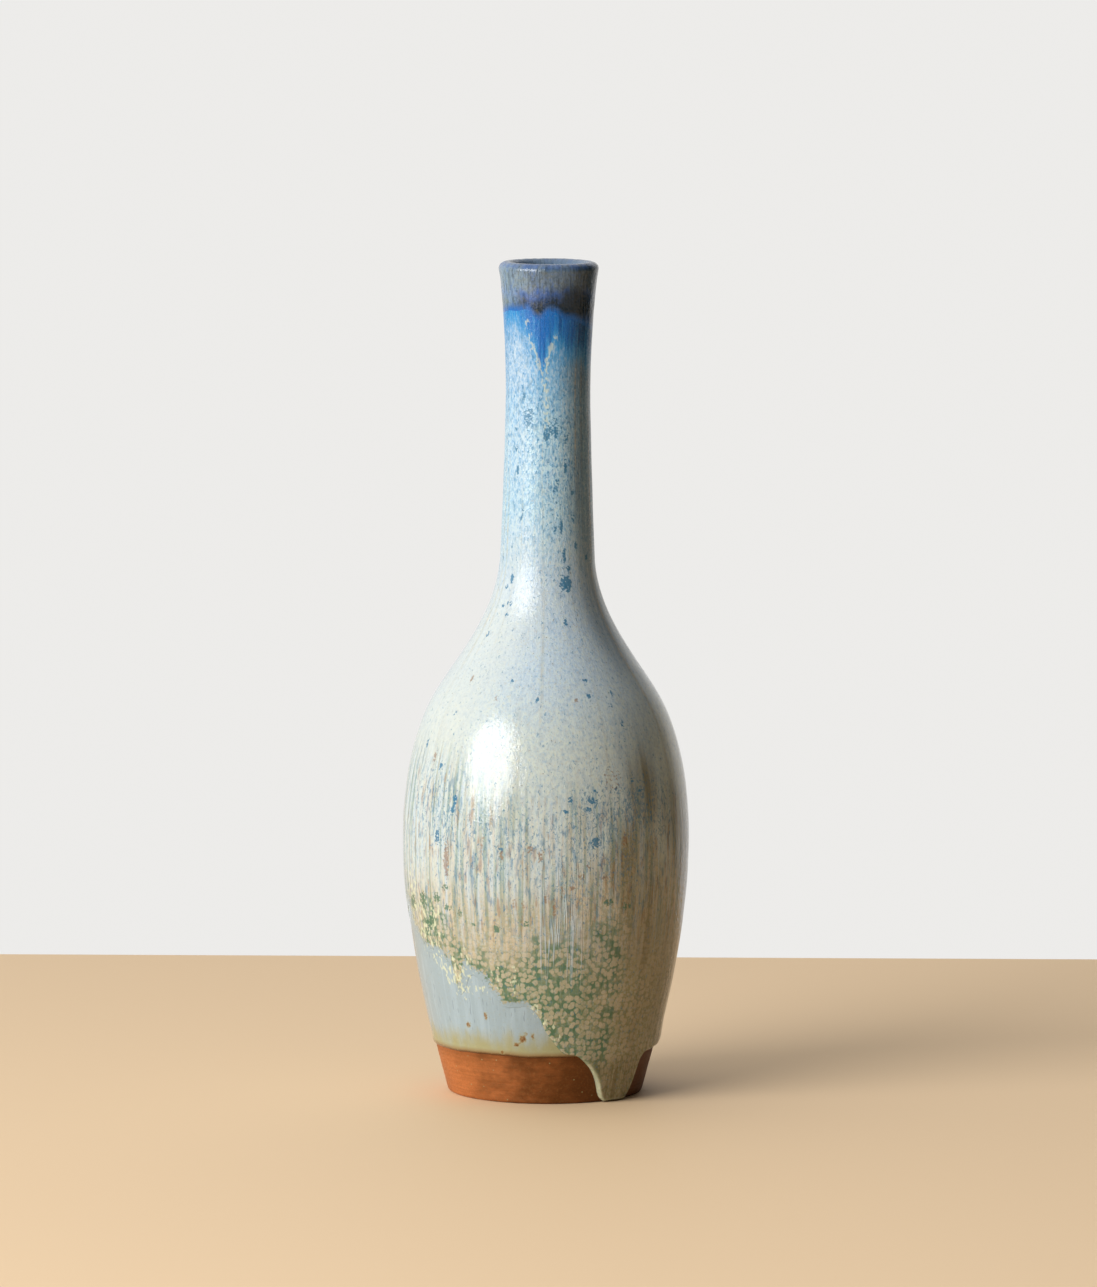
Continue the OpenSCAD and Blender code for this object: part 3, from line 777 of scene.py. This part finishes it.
def clay_body(size, outside, inside):
    """The thrown and trimmed clay. Rows run from the middle of the underside, over the foot
    ring, up the wall with fine turning rings, over the rim and down to the floor inside."""
    theta = angles()
    out_line, in_line = Line(outside), Line(inside)
    trimmed_top = 15  # up to here the clay is left bare or nearly so
    start = out_line.reach(FOOT_ROUND)
    under = underside(size, np.array(out_line.spot(start)))
    s_foot = np.linspace(start, out_line.reach(trimmed_top), 61)[1:]
    s_wall = np.linspace(out_line.reach(trimmed_top), out_line.end, 56)[1:]
    s_in = np.linspace(0, in_line.end - 0.5, 70)[1:]
    z = out_line.spot(s_foot)[1]
    rings = 0.015 * np.sin(z * 5.2) * np.sin(z * 1.3 + 1) + 0.02 * field(theta, s_foot, 80, 0.8, 41)
    rings = rings * smooth(z, 14, 11) * smooth(z, 0.7, 1.6)
    still_r, still_z = (np.repeat(under[None, :, k], AROUND, 0) for k in (0, 1))
    fade = smooth(s_foot, start, start + 2)
    foot_side = turned(theta, *out_line.spot(s_foot, fade * hand(theta, s_foot, size) + rings))
    front = np.concatenate([turned(theta, still_r, still_z), foot_side], axis=1)
    wall = turned(theta, *out_line.spot(s_wall, hand(theta, s_wall, size)))
    cavity = turned(theta, *in_line.spot(s_in + 0 * theta))
    walk = np.linspace(FOOT_ROUND - size["foot_d"] / 2, start, len(under))
    # partly toasting, partly painted shade that is darkest on the right
    toast = around(TOAST_AND_SHADE, theta)
    notes = {
        "flow": (
            flow(theta, np.concatenate([walk, s_foot])),
            flow(theta, np.concatenate([s_wall, out_line.end + s_in])),
        ),
        "toast": (toast + 0 * front[:, :, 0], toast + 0 * np.concatenate([s_wall, s_in])),
    }
    return closed_form("stoneware_body", front, np.concatenate([wall, cavity], axis=1), notes, True)


def liner_glaze(size, inside):
    """The glaze inside. Rows run up the side that lies on the clay, from the middle of the
    floor to the mouth, and back down the glossy side."""
    theta = angles()
    line = Line(inside)
    centre = line.end - 0.4
    top = (size["lip_inside"] - size["coats"]) * MOUTH_ARC
    up, down = np.linspace(centre, top, 60), np.linspace(top, centre, 90)
    hidden = turned(theta, *line.spot(up + 0 * theta))
    glossy = turned(theta, *line.spot(down + 0 * theta, size["base_t"]))
    notes = {"flow": (flow(theta, up), flow(theta, down))}
    return closed_form("liner_coat", hidden, glossy, notes, poles=True, share=0.1)


# ---- the finishes ----


class Finish:
    """A material and the few kinds of step its recipe uses. Sizes are in millimetres. The tone
    is the colour so far, and each step lays one more over it."""

    def __init__(self, name):
        self.material = bpy.data.materials.new(name)
        self.material.use_nodes = True
        self.tree = self.material.node_tree
        self.shader = self.tree.nodes["Principled BSDF"]
        here = self.add("ShaderNodeTexCoord").outputs["Object"]
        self.place = self.stretch(here, 1 / MM, 1 / MM, 1 / MM)
        self.height = self.add("ShaderNodeSeparateXYZ", {0: self.place}).outputs["Z"]
        self.down = self.add("ShaderNodeAttribute", attribute_name="flow").outputs["Vector"]
        self.tone = None

    def add(self, kind, wires=None, **settings):
        """Adds a node, sets it, and feeds its inputs with numbers or other nodes' outputs."""
        node = self.tree.nodes.new(kind)
        for key, value in settings.items():
            setattr(node, key, value)
        for socket, value in (wires or {}).items():
            self.feed(node.inputs[socket], value)
        return node

    def feed(self, socket, value):
        """Feeds one input with a number, a colour or another node's output."""
        if isinstance(value, bpy.types.NodeSocket):
            self.tree.links.new(value, socket)
        elif socket.type == "RGBA":
            socket.default_value = (*value[:3], 1)
        else:
            socket.default_value = value

    def note(self, name):
        """Reads a number stored at the piece's points."""
        return self.add("ShaderNodeAttribute", attribute_name=name).outputs["Fac"]

    def stretch(self, where, x, y, z):
        """Scales a place along each axis."""
        wires = {0: where, 1: (x, y, z)}
        return self.add("ShaderNodeVectorMath", wires, operation="MULTIPLY").outputs[0]

    def maths(self, kind, a, b=0.0):
        """One sum of one or two numbers."""
        return self.add("ShaderNodeMath", {0: a, 1: b}, operation=kind).outputs[0]

    def plus(self, a, b):
        """The sum of two numbers."""
        return self.maths("ADD", a, b)

    def times(self, first, *others):
        """The product of the numbers."""
        for other in others:
            first = self.maths("MULTIPLY", first, other)
        return first

    def sweep(self, value, low, high, start=0.0, end=1.0):
        """Goes smoothly from start to end as the value goes from low to high."""
        node = self.add("ShaderNodeMapRange", {0: value, 1: low, 2: high, 3: start, 4: end})
        node.interpolation_type = "SMOOTHSTEP"
        return node.outputs[0]

    def noise(self, where, size, detail=2.0, warp=0.0, along=1.0):
        """Cloudy noise with patches of about the size. An along of less than 1 draws them out
        up the wall, and one of more than 1 flattens them."""
        if along != 1.0:
            where = self.stretch(where, 1, 1, along)
        wires = {"Vector": where, "Scale": 1 / size, "Detail": detail, "Distortion": warp}
        return self.add("ShaderNodeTexNoise", wires).outputs[0]

    def cells(self, where, size):
        """Distance from the nearest of many scattered points, about the size apart."""
        wires = {"Vector": where, "Scale": 1 / size, "Randomness": 0.75}
        return self.add("ShaderNodeTexVoronoi", wires).outputs[0]

    def blend(self, amount, a, b):
        """Goes from colour a to colour b with the amount."""
        node = self.add("ShaderNodeMix", {0: amount}, data_type="RGBA")
        self.feed(node.inputs[6], a)
        self.feed(node.inputs[7], b)
        return node.outputs[2]

    def lay(self, shade, *amounts):
        """Lays a colour over the tone, by the product of the amounts."""
        self.tone = self.blend(self.times(*amounts), self.tone, shade)

    def levels(self, value, stops):
        """A band of colours along a value, from (value, colour) stops."""
        low, high = stops[0][0], stops[-1][0]
        share = self.add("ShaderNodeMapRange", {0: value, 1: low, 2: high})
        ramp = self.add("ShaderNodeValToRGB", {0: share.outputs[0]})
        bands = ramp.color_ramp.elements
        while len(bands) < len(stops):
            bands.new(0.5)
        for k, (at, shade) in enumerate(stops):
            bands[k].position = (at - low) / (high - low)
            bands[k].color = (*shade, 1)
        return ramp.outputs[0]

    def relief(self, *layers):
        """Bumps from layers (height, depth): a height of 1 stands for a depth in millimetres."""
        bumps = None
        for height, depth in layers:
            wires = {"Height": height, "Distance": depth * MM, "Strength": 1.0}
            if bumps is not None:
                wires["Normal"] = bumps
            bumps = self.add("ShaderNodeBump", wires).outputs[0]
        return bumps

    def crystal_cover(self):
        """How much of the straw crystals shows: small upright shards inside their clumps."""
        clump = self.note("crystal")
        shard = self.noise(self.place, 0.75, 1, along=0.55)
        dense = self.plus(shard, self.times(clump, 0.16))
        return self.times(self.sweep(dense, 0.64, 0.78, 0, 0.8), self.sweep(clump, 0.05, 0.35))

    def fire(self, roughness, *layers):
        """Gives the shader the tone, the roughness and the bumps, and returns the material."""
        self.feed(self.shader.inputs["Base Color"], self.tone)
        self.feed(self.shader.inputs["Roughness"], roughness)
        self.feed(self.shader.inputs["Normal"], self.relief(*layers))
        return self.material


def palette():
    """The colours by name."""
    colours = bpy.context.scene.glaze_colours
    return SimpleNamespace(**{key: tuple(getattr(colours, key)) for key in colours.__annotations__})


class Overglaze(Finish):
    """The second glaze's finish, with the patterns that more than one of its steps uses."""

    def __init__(self):
        super().__init__("overglaze")
        self.grain = self.noise(self.place, 0.55, 3)
        self.fleck = self.noise(self.place, 0.46, 2, 0.8, along=0.55)
        self.pale_fleck = self.noise(self.place, 0.6, 2, along=0.5)
        self.streak = self.noise(self.down, 0.5, 2, along=0.04)
        self.broad = self.noise(self.down, 2.4, 2, along=0.03)
        self.short = self.noise(self.down, 0.7, 2, along=0.2)
        self.jag = self.times(self.maths("SUBTRACT", self.grain, 0.5), 2.2)
        self.zone = self.note("streaks")
        self.run = self.note("run")
        # painted shade in grey down the right side of the neck
        self.dusk = self.times(self.note("dusk"), self.sweep(self.broad, 0.3, 0.65, 0.5, 1.0))
        # mask of the brown veil: mostly painted shade on the right side
        self.veil = self.times(self.note("veil"), self.sweep(self.broad, 0.35, 0.6, 0.35, 0.8))

    def ground(self, c):
        """The main colours by height, with ragged limits: umber and sand low down, celadon
        on the belly, mist on the shoulder and blue up the neck."""
        ragged = self.plus(self.times(self.broad, 16.0), -8.0)
        bands = [
            (0, c.umber), (22, c.umber), (36, c.sand), (53, c.celadon), (82, c.celadon),
            (100, c.mist), (118, c.mist), (134, c.sky), (152, c.sky), (176, c.azure),
        ]
        self.tone = self.levels(self.plus(self.height, ragged), bands)

    def body(self, c):
        """Faint specks and mottling below the neck, and paler glaze where the frost lies."""
        body = self.sweep(self.height, 160, 120)
        blue_fleck = self.noise(self.place, 0.6, 2, along=0.8)
        mottle = self.noise(self.place, 0.8, 3, 0.5, along=0.6)
        self.lay(c.sand, self.sweep(self.grain, 0.54, 0.68, 0, 0.3), body)
        self.lay(c.azure, self.sweep(blue_fleck, 0.52, 0.68, 0, 0.22), body)
        self.lay(c.slate, self.sweep(mottle, 0.45, 0.65, 0, 0.17), body)
        self.lay(c.straw, self.sweep(mottle, 0.52, 0.38, 0, 0.2), body)
        frost = self.note("frost")
        self.lay(self.blend(self.sweep(self.height, 110, 140), c.celadon, c.mist), frost)
        self.lay(c.sand, frost, self.sweep(self.height, 140, 110, 0, 0.3))

    def neck(self, c):
        """Blue worms, pale and deep flecks, and painted shade in grey down the right side."""
        neck = self.sweep(self.height, 104, 150)
        deep_fleck = self.noise(self.place, 0.8, 3, 0.4, along=0.4)
        self.lay(c.azure, self.sweep(self.fleck, 0.38, 0.62, 0, 0.52), neck)
        self.lay(c.mist, self.sweep(self.pale_fleck, 0.5, 0.66, 0, 0.5), neck)
        self.lay(c.teal, self.sweep(deep_fleck, 0.5, 0.7, 0, 0.4), neck)
        # painted shade in grey on the neck's right side
        self.lay(c.slate, self.dusk)

    def crystals(self, c):
        """The first coat of the brown veil, mostly painted shade on the right side, then sand crystals low
        on the belly: round dots about the scattered points of a swirled grid, with the net between them."""
        # first coat of painted shade on the right side, with some of the glaze's own brown
        self.lay(c.bark, self.veil)
        wires = {"Vector": self.place, "Scale": 0.8, "Detail": 1.0}
        swirl = self.add("ShaderNodeTexNoise", wires).outputs[1]
        bent = self.add("ShaderNodeVectorMath", {0: self.place, 1: swirl}).outputs[0]
        dot = self.cells(bent, 1.22)
        self.net = self.sweep(self.plus(dot, self.times(self.grain, 0.3)), 0.55, 0.78)
        fingers = self.times(self.maths("SUBTRACT", self.broad, 0.5), 2.6)
        low = self.sweep(self.plus(self.note("cells"), fingers), 0.1, 1.0)
        between = self.blend(self.sweep(self.grain, 0.42, 0.66, 0, 0.6), c.umber, c.celadon)
        self.lay(between, low, 0.6)
        self.dots = self.times(low, self.maths("SUBTRACT", 1.0, self.net))
        wide = self.noise(self.place, 7.0, 2)
        self.lay(c.sand, self.dots, self.sweep(wide, 0.35, 0.65, 0.75, 0.5))

    def streaks(self, c):
        """Long and short streaks down the belly, over the crystals."""
        tall = self.noise(self.down, 0.8, 2, along=0.03)
        taller = self.noise(self.down, 0.65, 2, along=0.05)
        rusty = self.noise(self.down, 0.8, 2, along=0.14)
        self.lay(c.mist, self.sweep(self.streak, 0.46, 0.64, 0, 0.5), self.zone)
        self.lay(c.moss, self.sweep(tall, 0.46, 0.66, 0, 0.5), self.zone)
        self.lay(c.sand, self.sweep(taller, 0.46, 0.68, 0, 0.42), self.zone)
        self.lay(c.teal, self.sweep(self.short, 0.54, 0.68, 0, 0.45), self.zone)
        self.lay(c.rust, self.sweep(rusty, 0.56, 0.7, 0, 0.45), self.zone)

    def moss(self, c):
        """Moss in the net between the crystals, and the run with its pale brink, which is partly painted
        highlight along the raised edge.
        """
        patchy = self.plus(self.times(self.noise(self.place, 4.5, 2), 1.8), self.broad)
        mossy = self.sweep(self.plus(self.note("moss"), patchy), 1.75, 2.5)
        broken = self.sweep(self.short, 0.35, 0.6, 0.55, 1.0)
        self.lay(c.moss, mossy, self.net, broken, 0.85)
        self.lay(c.moss, mossy, 0.2)
        self.lay(c.bark, self.run, self.sweep(self.streak, 0.4, 0.6, 0.3, 0.7))
        # pale brink of the run: paler glaze, partly painted highlight on the raised edge
        self.lay(c.straw, self.sweep(self.note("edge"), 1.2, 0.2), self.run, 0.5)

    def spots(self, c):
        """Raised threads painted paler, partly as painted highlight, the second coat of the brown veil,
        mostly painted shade, and the single spots.
        """
        wave = self.noise(self.down, 0.8, 1, along=0.02)
        ridge = self.sweep(
            self.maths("ABSOLUTE", self.maths("SUBTRACT", wave, 0.5)), 0.035, 0.01
        )
        self.thread = self.times(ridge, self.note("threads"))
        # paler glaze along the threads, partly painted highlight where their ridges catch the light
        self.lay(c.mist, self.thread, 0.55)
        # second coat of painted shade on the right side, with some of the glaze's own brown
        self.lay(c.bark, self.veil, 0.72)
        belt = self.plus(self.times(self.note("teal_belt"), 0.15), self.fleck)
        self.lay(c.moss, self.sweep(self.plus(self.note("moss_dots"), self.jag), 0.42, 0.7, 0, 0.8))
        self.lay(c.teal, self.sweep(belt, 0.6, 0.74, 0, 0.6))
        self.lay(c.teal, self.sweep(self.plus(self.note("teal"), self.jag), 0.45, 0.75, 0, 0.85))
        self.lay(c.rust, self.sweep(self.plus(self.note("rust"), self.jag), 0.4, 0.8, 0, 0.6))

    def cobalt(self, c):
        """Azure and then cobalt under the lip, dragged down in points, with darker drags, painted shade in
        ink down the right side, and the straw-coloured trickles."""
        top = self.note("cobalt")
        near_lip = self.sweep(top, 0.0, 0.4)
        reach = self.plus(top, self.times(self.noise(self.down, 1.3, 3, along=0.14), 1.5))
        drag = self.noise(self.down, 2.6, 3, along=0.1)
        blue = self.times(self.sweep(reach, 1.1, 1.85), near_lip)
        self.lay(c.azure, self.sweep(reach, 0.7, 1.5, 0, 0.85), near_lip)
        self.lay(c.cobalt, blue)
        # painted shade in ink on the right side of the cobalt
        self.lay(c.ink, self.dusk, blue, 0.75)
        self.lay(c.ink, blue, self.sweep(drag, 0.48, 0.66, 0, 0.4))
        self.lay(c.azure, self.sweep(self.pale_fleck, 0.5, 0.7, 0, 0.2), blue)
        spill = self.note("spill")
        loose = self.times(self.maths("SUBTRACT", self.pale_fleck, 0.54), 8.0)
        self.lay(c.straw, self.sweep(self.plus(spill, loose), 0.4, 1.2), spill, 0.45)

    def thin_edge(self, c):
        """Where the coat is thin the base glaze shows, with straw crystals on it."""
        frayed = self.plus(self.note("thin"), self.times(self.jag, 0.7))
        self.lay(c.ice, self.sweep(frayed, 0.3, 0.8))
        self.lay(c.straw, self.crystal_cover())


def overglaze_finish():
    """The second glaze, glossy on the belly and duller and rougher up the neck."""
    c = palette()
    f = Overglaze()
    for step in (
        f.ground, f.body, f.neck, f.crystals, f.streaks, f.moss, f.spots, f.cobalt, f.thin_edge
    ):
        step(c)
    f.shader.inputs["IOR"].default_value = 1.46
    dull = f.sweep(f.height, 92, 130, 0.0, 0.12)
    return f.fire(
        f.plus(f.sweep(f.grain, 0.35, 0.65, 0.06, 0.17), dull),
        (f.noise(f.place, 1.3, 1, 0.3), 0.03),
        (f.grain, 0.012),
        (f.noise(f.down, 0.5, 2, along=0.3), 0.04),
        (f.times(f.fleck, f.sweep(f.height, 90, 120, 0.4, 1.0)), 0.09),
        (f.times(f.streak, f.zone), 0.06),
        (f.thread, 0.10),
        (f.dots, 0.03),
    )


def lip_finish():
    """Slate rim with fine dark streaks, indigo along the crest and below the roll, a near-black
    band, and cobalt just above the waved edge."""
    c = palette()
    f = Finish("lip_glaze")
    streak = f.noise(f.down, 0.9, 3, along=0.2)
    blotch = f.noise(f.down, 3.4, 2, along=0.5)
    grain = f.noise(f.place, 0.5, 3)
    speck = f.noise(f.place, 0.6, 3, 0.4, along=0.7)
    bands = [
        (174, c.cobalt), (177.0, c.indigo), (179.1, c.ink), (180.9, c.ink), (183.2, c.indigo),
        (185.0, c.slate), (190.5, c.slate),
    ]
    f.tone = f.levels(f.plus(f.times(blotch, 7.0), f.maths("SUBTRACT", f.height, 3.5)), bands)
    f.lay(c.sky, f.note("pale"), 0.34)
    f.lay(c.ink, f.sweep(streak, 0.47, 0.62, 0, 0.4))
    f.lay(c.ink, f.sweep(speck, 0.48, 0.64, 0, 0.36))
    f.lay(c.indigo, f.sweep(speck, 0.48, 0.34, 0, 0.34))
    f.lay(c.slate, f.sweep(grain, 0.5, 0.68, 0, 0.25))
    f.lay(c.umber, f.sweep(f.noise(f.place, 1.3, 2), 0.46, 0.66, 0, 0.14))
    # dark glaze patches, partly painted shade on the rim's right side
    f.lay(c.ink, f.note("dark"), 0.93)
    f.lay(c.indigo, f.sweep(f.height, 188.4, 189.4), f.sweep(blotch, 0.4, 0.6, 0.1, 0.5))
    f.lay(c.cobalt, f.sweep(f.note("above_edge"), 2.2, 0.0), f.sweep(blotch, 0.3, 0.6, 0.5, 0.95))
    f.lay(c.slate, f.note("mouth"), 0.7)
    f.shader.inputs["IOR"].default_value = 1.48
    return f.fire(
        f.sweep(grain, 0.35, 0.65, 0.09, 0.22),
        (f.noise(f.place, 0.7, 1, 0.3), 0.08),
        (streak, 0.1),
    )


def base_finish():
    """Ice-blue glaze with soft streaks, olive where it thins towards the foot, a toasted edge,
    iron spots and a few straw crystals."""
    c = palette()
    f = Finish("base_glaze")
    grain = f.noise(f.place, 0.5, 3)
    streak = f.noise(f.down, 1.2, 2, along=0.06)
    scratch = f.noise(f.down, 0.35, 1, along=0.12)
    gap = f.note("edge")
    f.tone = f.blend(f.sweep(streak, 0.42, 0.64, 0, 0.22), c.ice, c.mist)
    f.lay(c.ink, f.sweep(scratch, 0.66, 0.74, 0, 0.3))
    ragged = f.plus(f.times(f.noise(f.down, 2.6, 3, along=0.3), -10.0), f.plus(gap, 5.0))
    f.lay(c.olive, f.sweep(ragged, 7.5, 1.0, 0, 0.95))
    f.lay(c.rust, f.sweep(gap, 1.8, 0.5, 0, 0.7))
    f.lay(c.scorch, f.sweep(gap, 0.8, 0.3, 0, 0.8))
    iron = f.plus(f.note("iron"), f.times(f.maths("SUBTRACT", grain, 0.5), 1.6))
    f.lay(c.olive, f.sweep(iron, 0.1, 0.6, 0, 0.6))
    f.lay(c.rust, f.sweep(iron, 0.4, 0.9, 0, 0.85))
    f.lay(c.scorch, f.sweep(iron, 0.95, 1.2, 0, 0.8))
    f.lay(c.straw, f.crystal_cover())
    f.shader.inputs["IOR"].default_value = 1.55
    return f.fire(f.sweep(grain, 0.35, 0.65, 0.1, 0.22), (f.noise(f.place, 1.1, 1), 0.06))


def clay_finish():
    """Rust-coloured stoneware: cloudy toasting mixed with painted shade that darkens the clay towards the
    right, fine turning lines and small pale grit.
    """
    c = palette()
    f = Finish("bare_clay")
    cloud = f.noise(f.place, 6.0, 3)
    blot = f.noise(f.place, 2.2, 3, along=1.6)
    grain = f.noise(f.place, 0.45, 4)
    line = f.noise(f.stretch(f.down, 0.04, 0.04, 1), 0.5, 2)
    grit = f.cells(f.place, 2.4)
    cloudy = f.plus(f.times(cloud, 0.9), f.times(blot, 0.6))
    # toasting mixed with painted shade, darker towards the right
    toasted = f.plus(f.note("toast"), cloudy)
    f.tone = f.blend(f.sweep(toasted, 0.65, 1.65, 0, 0.92), c.clay, c.scorch)
    f.lay(c.scorch, f.sweep(line, 0.42, 0.66, 0, 0.15))
    f.lay(c.rust, f.sweep(grain, 0.5, 0.68, 0, 0.35))
    f.lay(c.scorch, f.sweep(f.height, 8.0, 11.5, 0, 0.35))
    f.lay(c.olive, f.sweep(grit, 0.09, 0.05, 0, 0.7))
    f.shader.inputs["Specular IOR Level"].default_value = 0.25
    return f.fire(f.sweep(grain, 0.3, 0.7, 0.45, 0.65), (grain, 0.07), (line, 0.03))


def liner_finish():
    """Grey-green glaze inside, with darker pools."""
    c = palette()
    f = Finish("liner_glaze")
    cloud = f.noise(f.place, 3.0, 3)
    f.tone = f.blend(f.sweep(cloud, 0.4, 0.6), c.slate, c.umber)
    return f.fire(f.sweep(cloud, 0.3, 0.7, 0.2, 0.35), (f.noise(f.place, 1.1, 1), 0.06))


# ---- operators ----


class VASE_OT_clay(bpy.types.Operator):
    """Build the thrown and trimmed clay body"""

    bl_idname = "vase.clay"
    bl_label = "Clay body"

    def execute(self, context):
        size = sizes()
        obj = clay_body(size, *clay_lines(size))
        finish_piece(obj, "clay_body", clay_finish())
        return {"FINISHED"}


class VASE_OT_base(bpy.types.Operator):
    """Build the base glaze with its bead above the foot"""

    bl_idname = "vase.base_glaze"
    bl_label = "Base glaze"

    def execute(self, context):
        size = sizes()
        obj = base_glaze(size, *clay_lines(size))
        finish_piece(obj, "base_glaze", base_finish())
        return {"FINISHED"}


class VASE_OT_overglaze(bpy.types.Operator):
    """Build the second glaze with its ragged edge and its run"""

    bl_idname = "vase.overglaze"
    bl_label = "Second glaze"

    def execute(self, context):
        size = sizes()
        obj = overglaze(size, clay_lines(size)[0])
        finish_piece(obj, "overglaze", overglaze_finish())
        return {"FINISHED"}


class VASE_OT_lip(bpy.types.Operator):
    """Build the lip glaze"""

    bl_idname = "vase.lip_glaze"
    bl_label = "Lip glaze"

    def execute(self, context):
        size = sizes()
        obj = lip_glaze(size, *clay_lines(size))
        finish_piece(obj, "lip_glaze", lip_finish())
        return {"FINISHED"}


class VASE_OT_liner(bpy.types.Operator):
    """Build the glaze inside"""

    bl_idname = "vase.liner_glaze"
    bl_label = "Liner glaze"

    def execute(self, context):
        size = sizes()
        obj = liner_glaze(size, clay_lines(size)[1])
        finish_piece(obj, "liner_glaze", liner_finish())
        return {"FINISHED"}


class VASE_OT_stage(bpy.types.Operator):
    """Set up the floor, the light and the camera"""

    bl_idname = "vase.stage"
    bl_label = "Stage"

    def execute(self, context):
        studio = context.scene.vase_studio
        lay_floor(studio)
        light_room(studio)
        hang_window(studio)
        place_camera(studio)
        context.scene.view_settings.view_transform = "Standard"
        return {"FINISHED"}


def lay_floor(studio):
    """A plain floor that ends a little way behind the vase."""
    front, back, side = -1.6, 0.205, 3.0
    mesh = bpy.data.meshes.new("floor")
    corners = [(-side, front, 0), (side, front, 0), (side, back, 0), (-side, back, 0)]
    mesh.from_pydata(corners, [], [(0, 1, 2, 3)])
    floor = bpy.data.objects.new("floor", mesh)
    bpy.context.scene.collection.objects.link(floor)
    material = bpy.data.materials.new("floor")
    material.use_nodes = True
    shader = material.node_tree.nodes["Principled BSDF"]
    shader.inputs["Base Color"].default_value = (*studio.floor, 1)
    shader.inputs["Roughness"].default_value = 0.7
    mesh.materials.append(material)


def light_room(studio):
    """A pale wall behind, a ceiling that is brightest behind on the left, and dim elsewhere."""
    world = bpy.data.worlds.new("room")
    bpy.context.scene.world = world
    world.use_nodes = True
    tree = world.node_tree
    toward = tree.nodes.new("ShaderNodeTexCoord").outputs["Generated"]

    def glow(direction, low, high, dim, bright):
        """Goes from dim to bright as the view turns towards the direction."""
        side = tree.nodes.new("ShaderNodeVectorMath")
        side.operation = "DOT_PRODUCT"
        side.inputs[1].default_value = Vector(direction).normalized()
        tree.links.new(toward, side.inputs[0])
        ramp = tree.nodes.new("ShaderNodeMapRange")
        ramp.interpolation_type = "SMOOTHSTEP"
        for k, value in enumerate((low, high, dim, bright)):
            ramp.inputs[k + 1].default_value = value
        tree.links.new(side.outputs["Value"], ramp.inputs[0])
        return ramp.outputs[0]

    ceiling = glow((-0.55, 0.4, 0.75), 0.1, 0.95, 0.03 * studio.room, 0.95 * studio.room)
    wall = glow((0, 1, 0), 0.6, 0.88, 0.0, 0.845 * studio.room)
    most = tree.nodes.new("ShaderNodeMath")
    most.operation = "MAXIMUM"
    tree.links.new(ceiling, most.inputs[0])
    tree.links.new(wall, most.inputs[1])
    tree.links.new(most.outputs[0], tree.nodes["Background"].inputs["Strength"])
    tree.nodes["Background"].inputs["Color"].default_value = (1.0, 0.99, 0.97, 1)


def hang_window(studio):
    """A large soft window to the front left."""
    light = bpy.data.lights.new("window", "AREA")
    light.shape = "ELLIPSE"
    light.size, light.size_y = 1.2, 1.04
    light.energy = studio.window
    window = bpy.data.objects.new("window", light)
    bpy.context.scene.collection.objects.link(window)
    turn, rise, away = math.radians(-50), math.radians(19.5), 1.5
    back = Vector(
        (math.sin(turn) * math.cos(rise), -math.cos(turn) * math.cos(rise), math.sin(rise))
    )
    belly = Vector((0, 0, 0.09))
    window.location = belly + back * away
    window.rotation_mode = "QUATERNION"
    window.rotation_quaternion = back.to_track_quat("Z", "Y")


def place_camera(studio):
    """A long lens looking slightly down, with the roll of a hand-held camera."""
    camera_data = bpy.data.cameras.new("camera")
    camera_data.sensor_fit = "HORIZONTAL"
    camera_data.sensor_width = 36
    camera_data.lens = 36 * studio.focal
    camera_data.clip_start, camera_data.clip_end = 0.05, 50
    camera = bpy.data.objects.new("camera", camera_data)
    bpy.context.scene.collection.objects.link(camera)
    tilt = Matrix.Rotation(math.radians(90 - studio.pitch), 4, "X")
    roll = Matrix.Rotation(math.radians(studio.roll), 4, "Z")
    camera.matrix_world = (
        Matrix.Translation((studio.aside, -studio.distance, studio.eye)) @ tilt @ roll
    )
    bpy.context.scene.camera = camera


class VASE_PT_sidebar(bpy.types.Panel):
    """Lists the builders in the order in which they are used."""

    bl_idname = "VASE_PT_sidebar"
    bl_label = "Bud vase"
    bl_space_type = "VIEW_3D"
    bl_region_type = "UI"
    bl_category = "Bud vase"

    def draw(self, context):
        for builder in BUILDERS:
            self.layout.operator(builder.bl_idname)


BUILDERS = (
    VASE_OT_clay,
    VASE_OT_base,
    VASE_OT_overglaze,
    VASE_OT_lip,
    VASE_OT_liner,
    VASE_OT_stage,
)
CLASSES = (VaseShape, GlazeColours, VaseStudio, *BUILDERS, VASE_PT_sidebar)


def register():
    for cls in CLASSES:
        bpy.utils.register_class(cls)
    bpy.types.Scene.vase_shape = bpy.props.PointerProperty(type=VaseShape)
    bpy.types.Scene.glaze_colours = bpy.props.PointerProperty(type=GlazeColours)
    bpy.types.Scene.vase_studio = bpy.props.PointerProperty(type=VaseStudio)


def unregister():
    del bpy.types.Scene.vase_studio
    del bpy.types.Scene.glaze_colours
    del bpy.types.Scene.vase_shape
    for cls in reversed(CLASSES):
        bpy.utils.unregister_class(cls)


def main():
    register()
    bpy.ops.vase.clay()
    bpy.ops.vase.base_glaze()
    bpy.ops.vase.overglaze()
    bpy.ops.vase.lip_glaze()
    bpy.ops.vase.liner_glaze()
    bpy.ops.vase.stage()


if __name__ == "__main__":
    main()
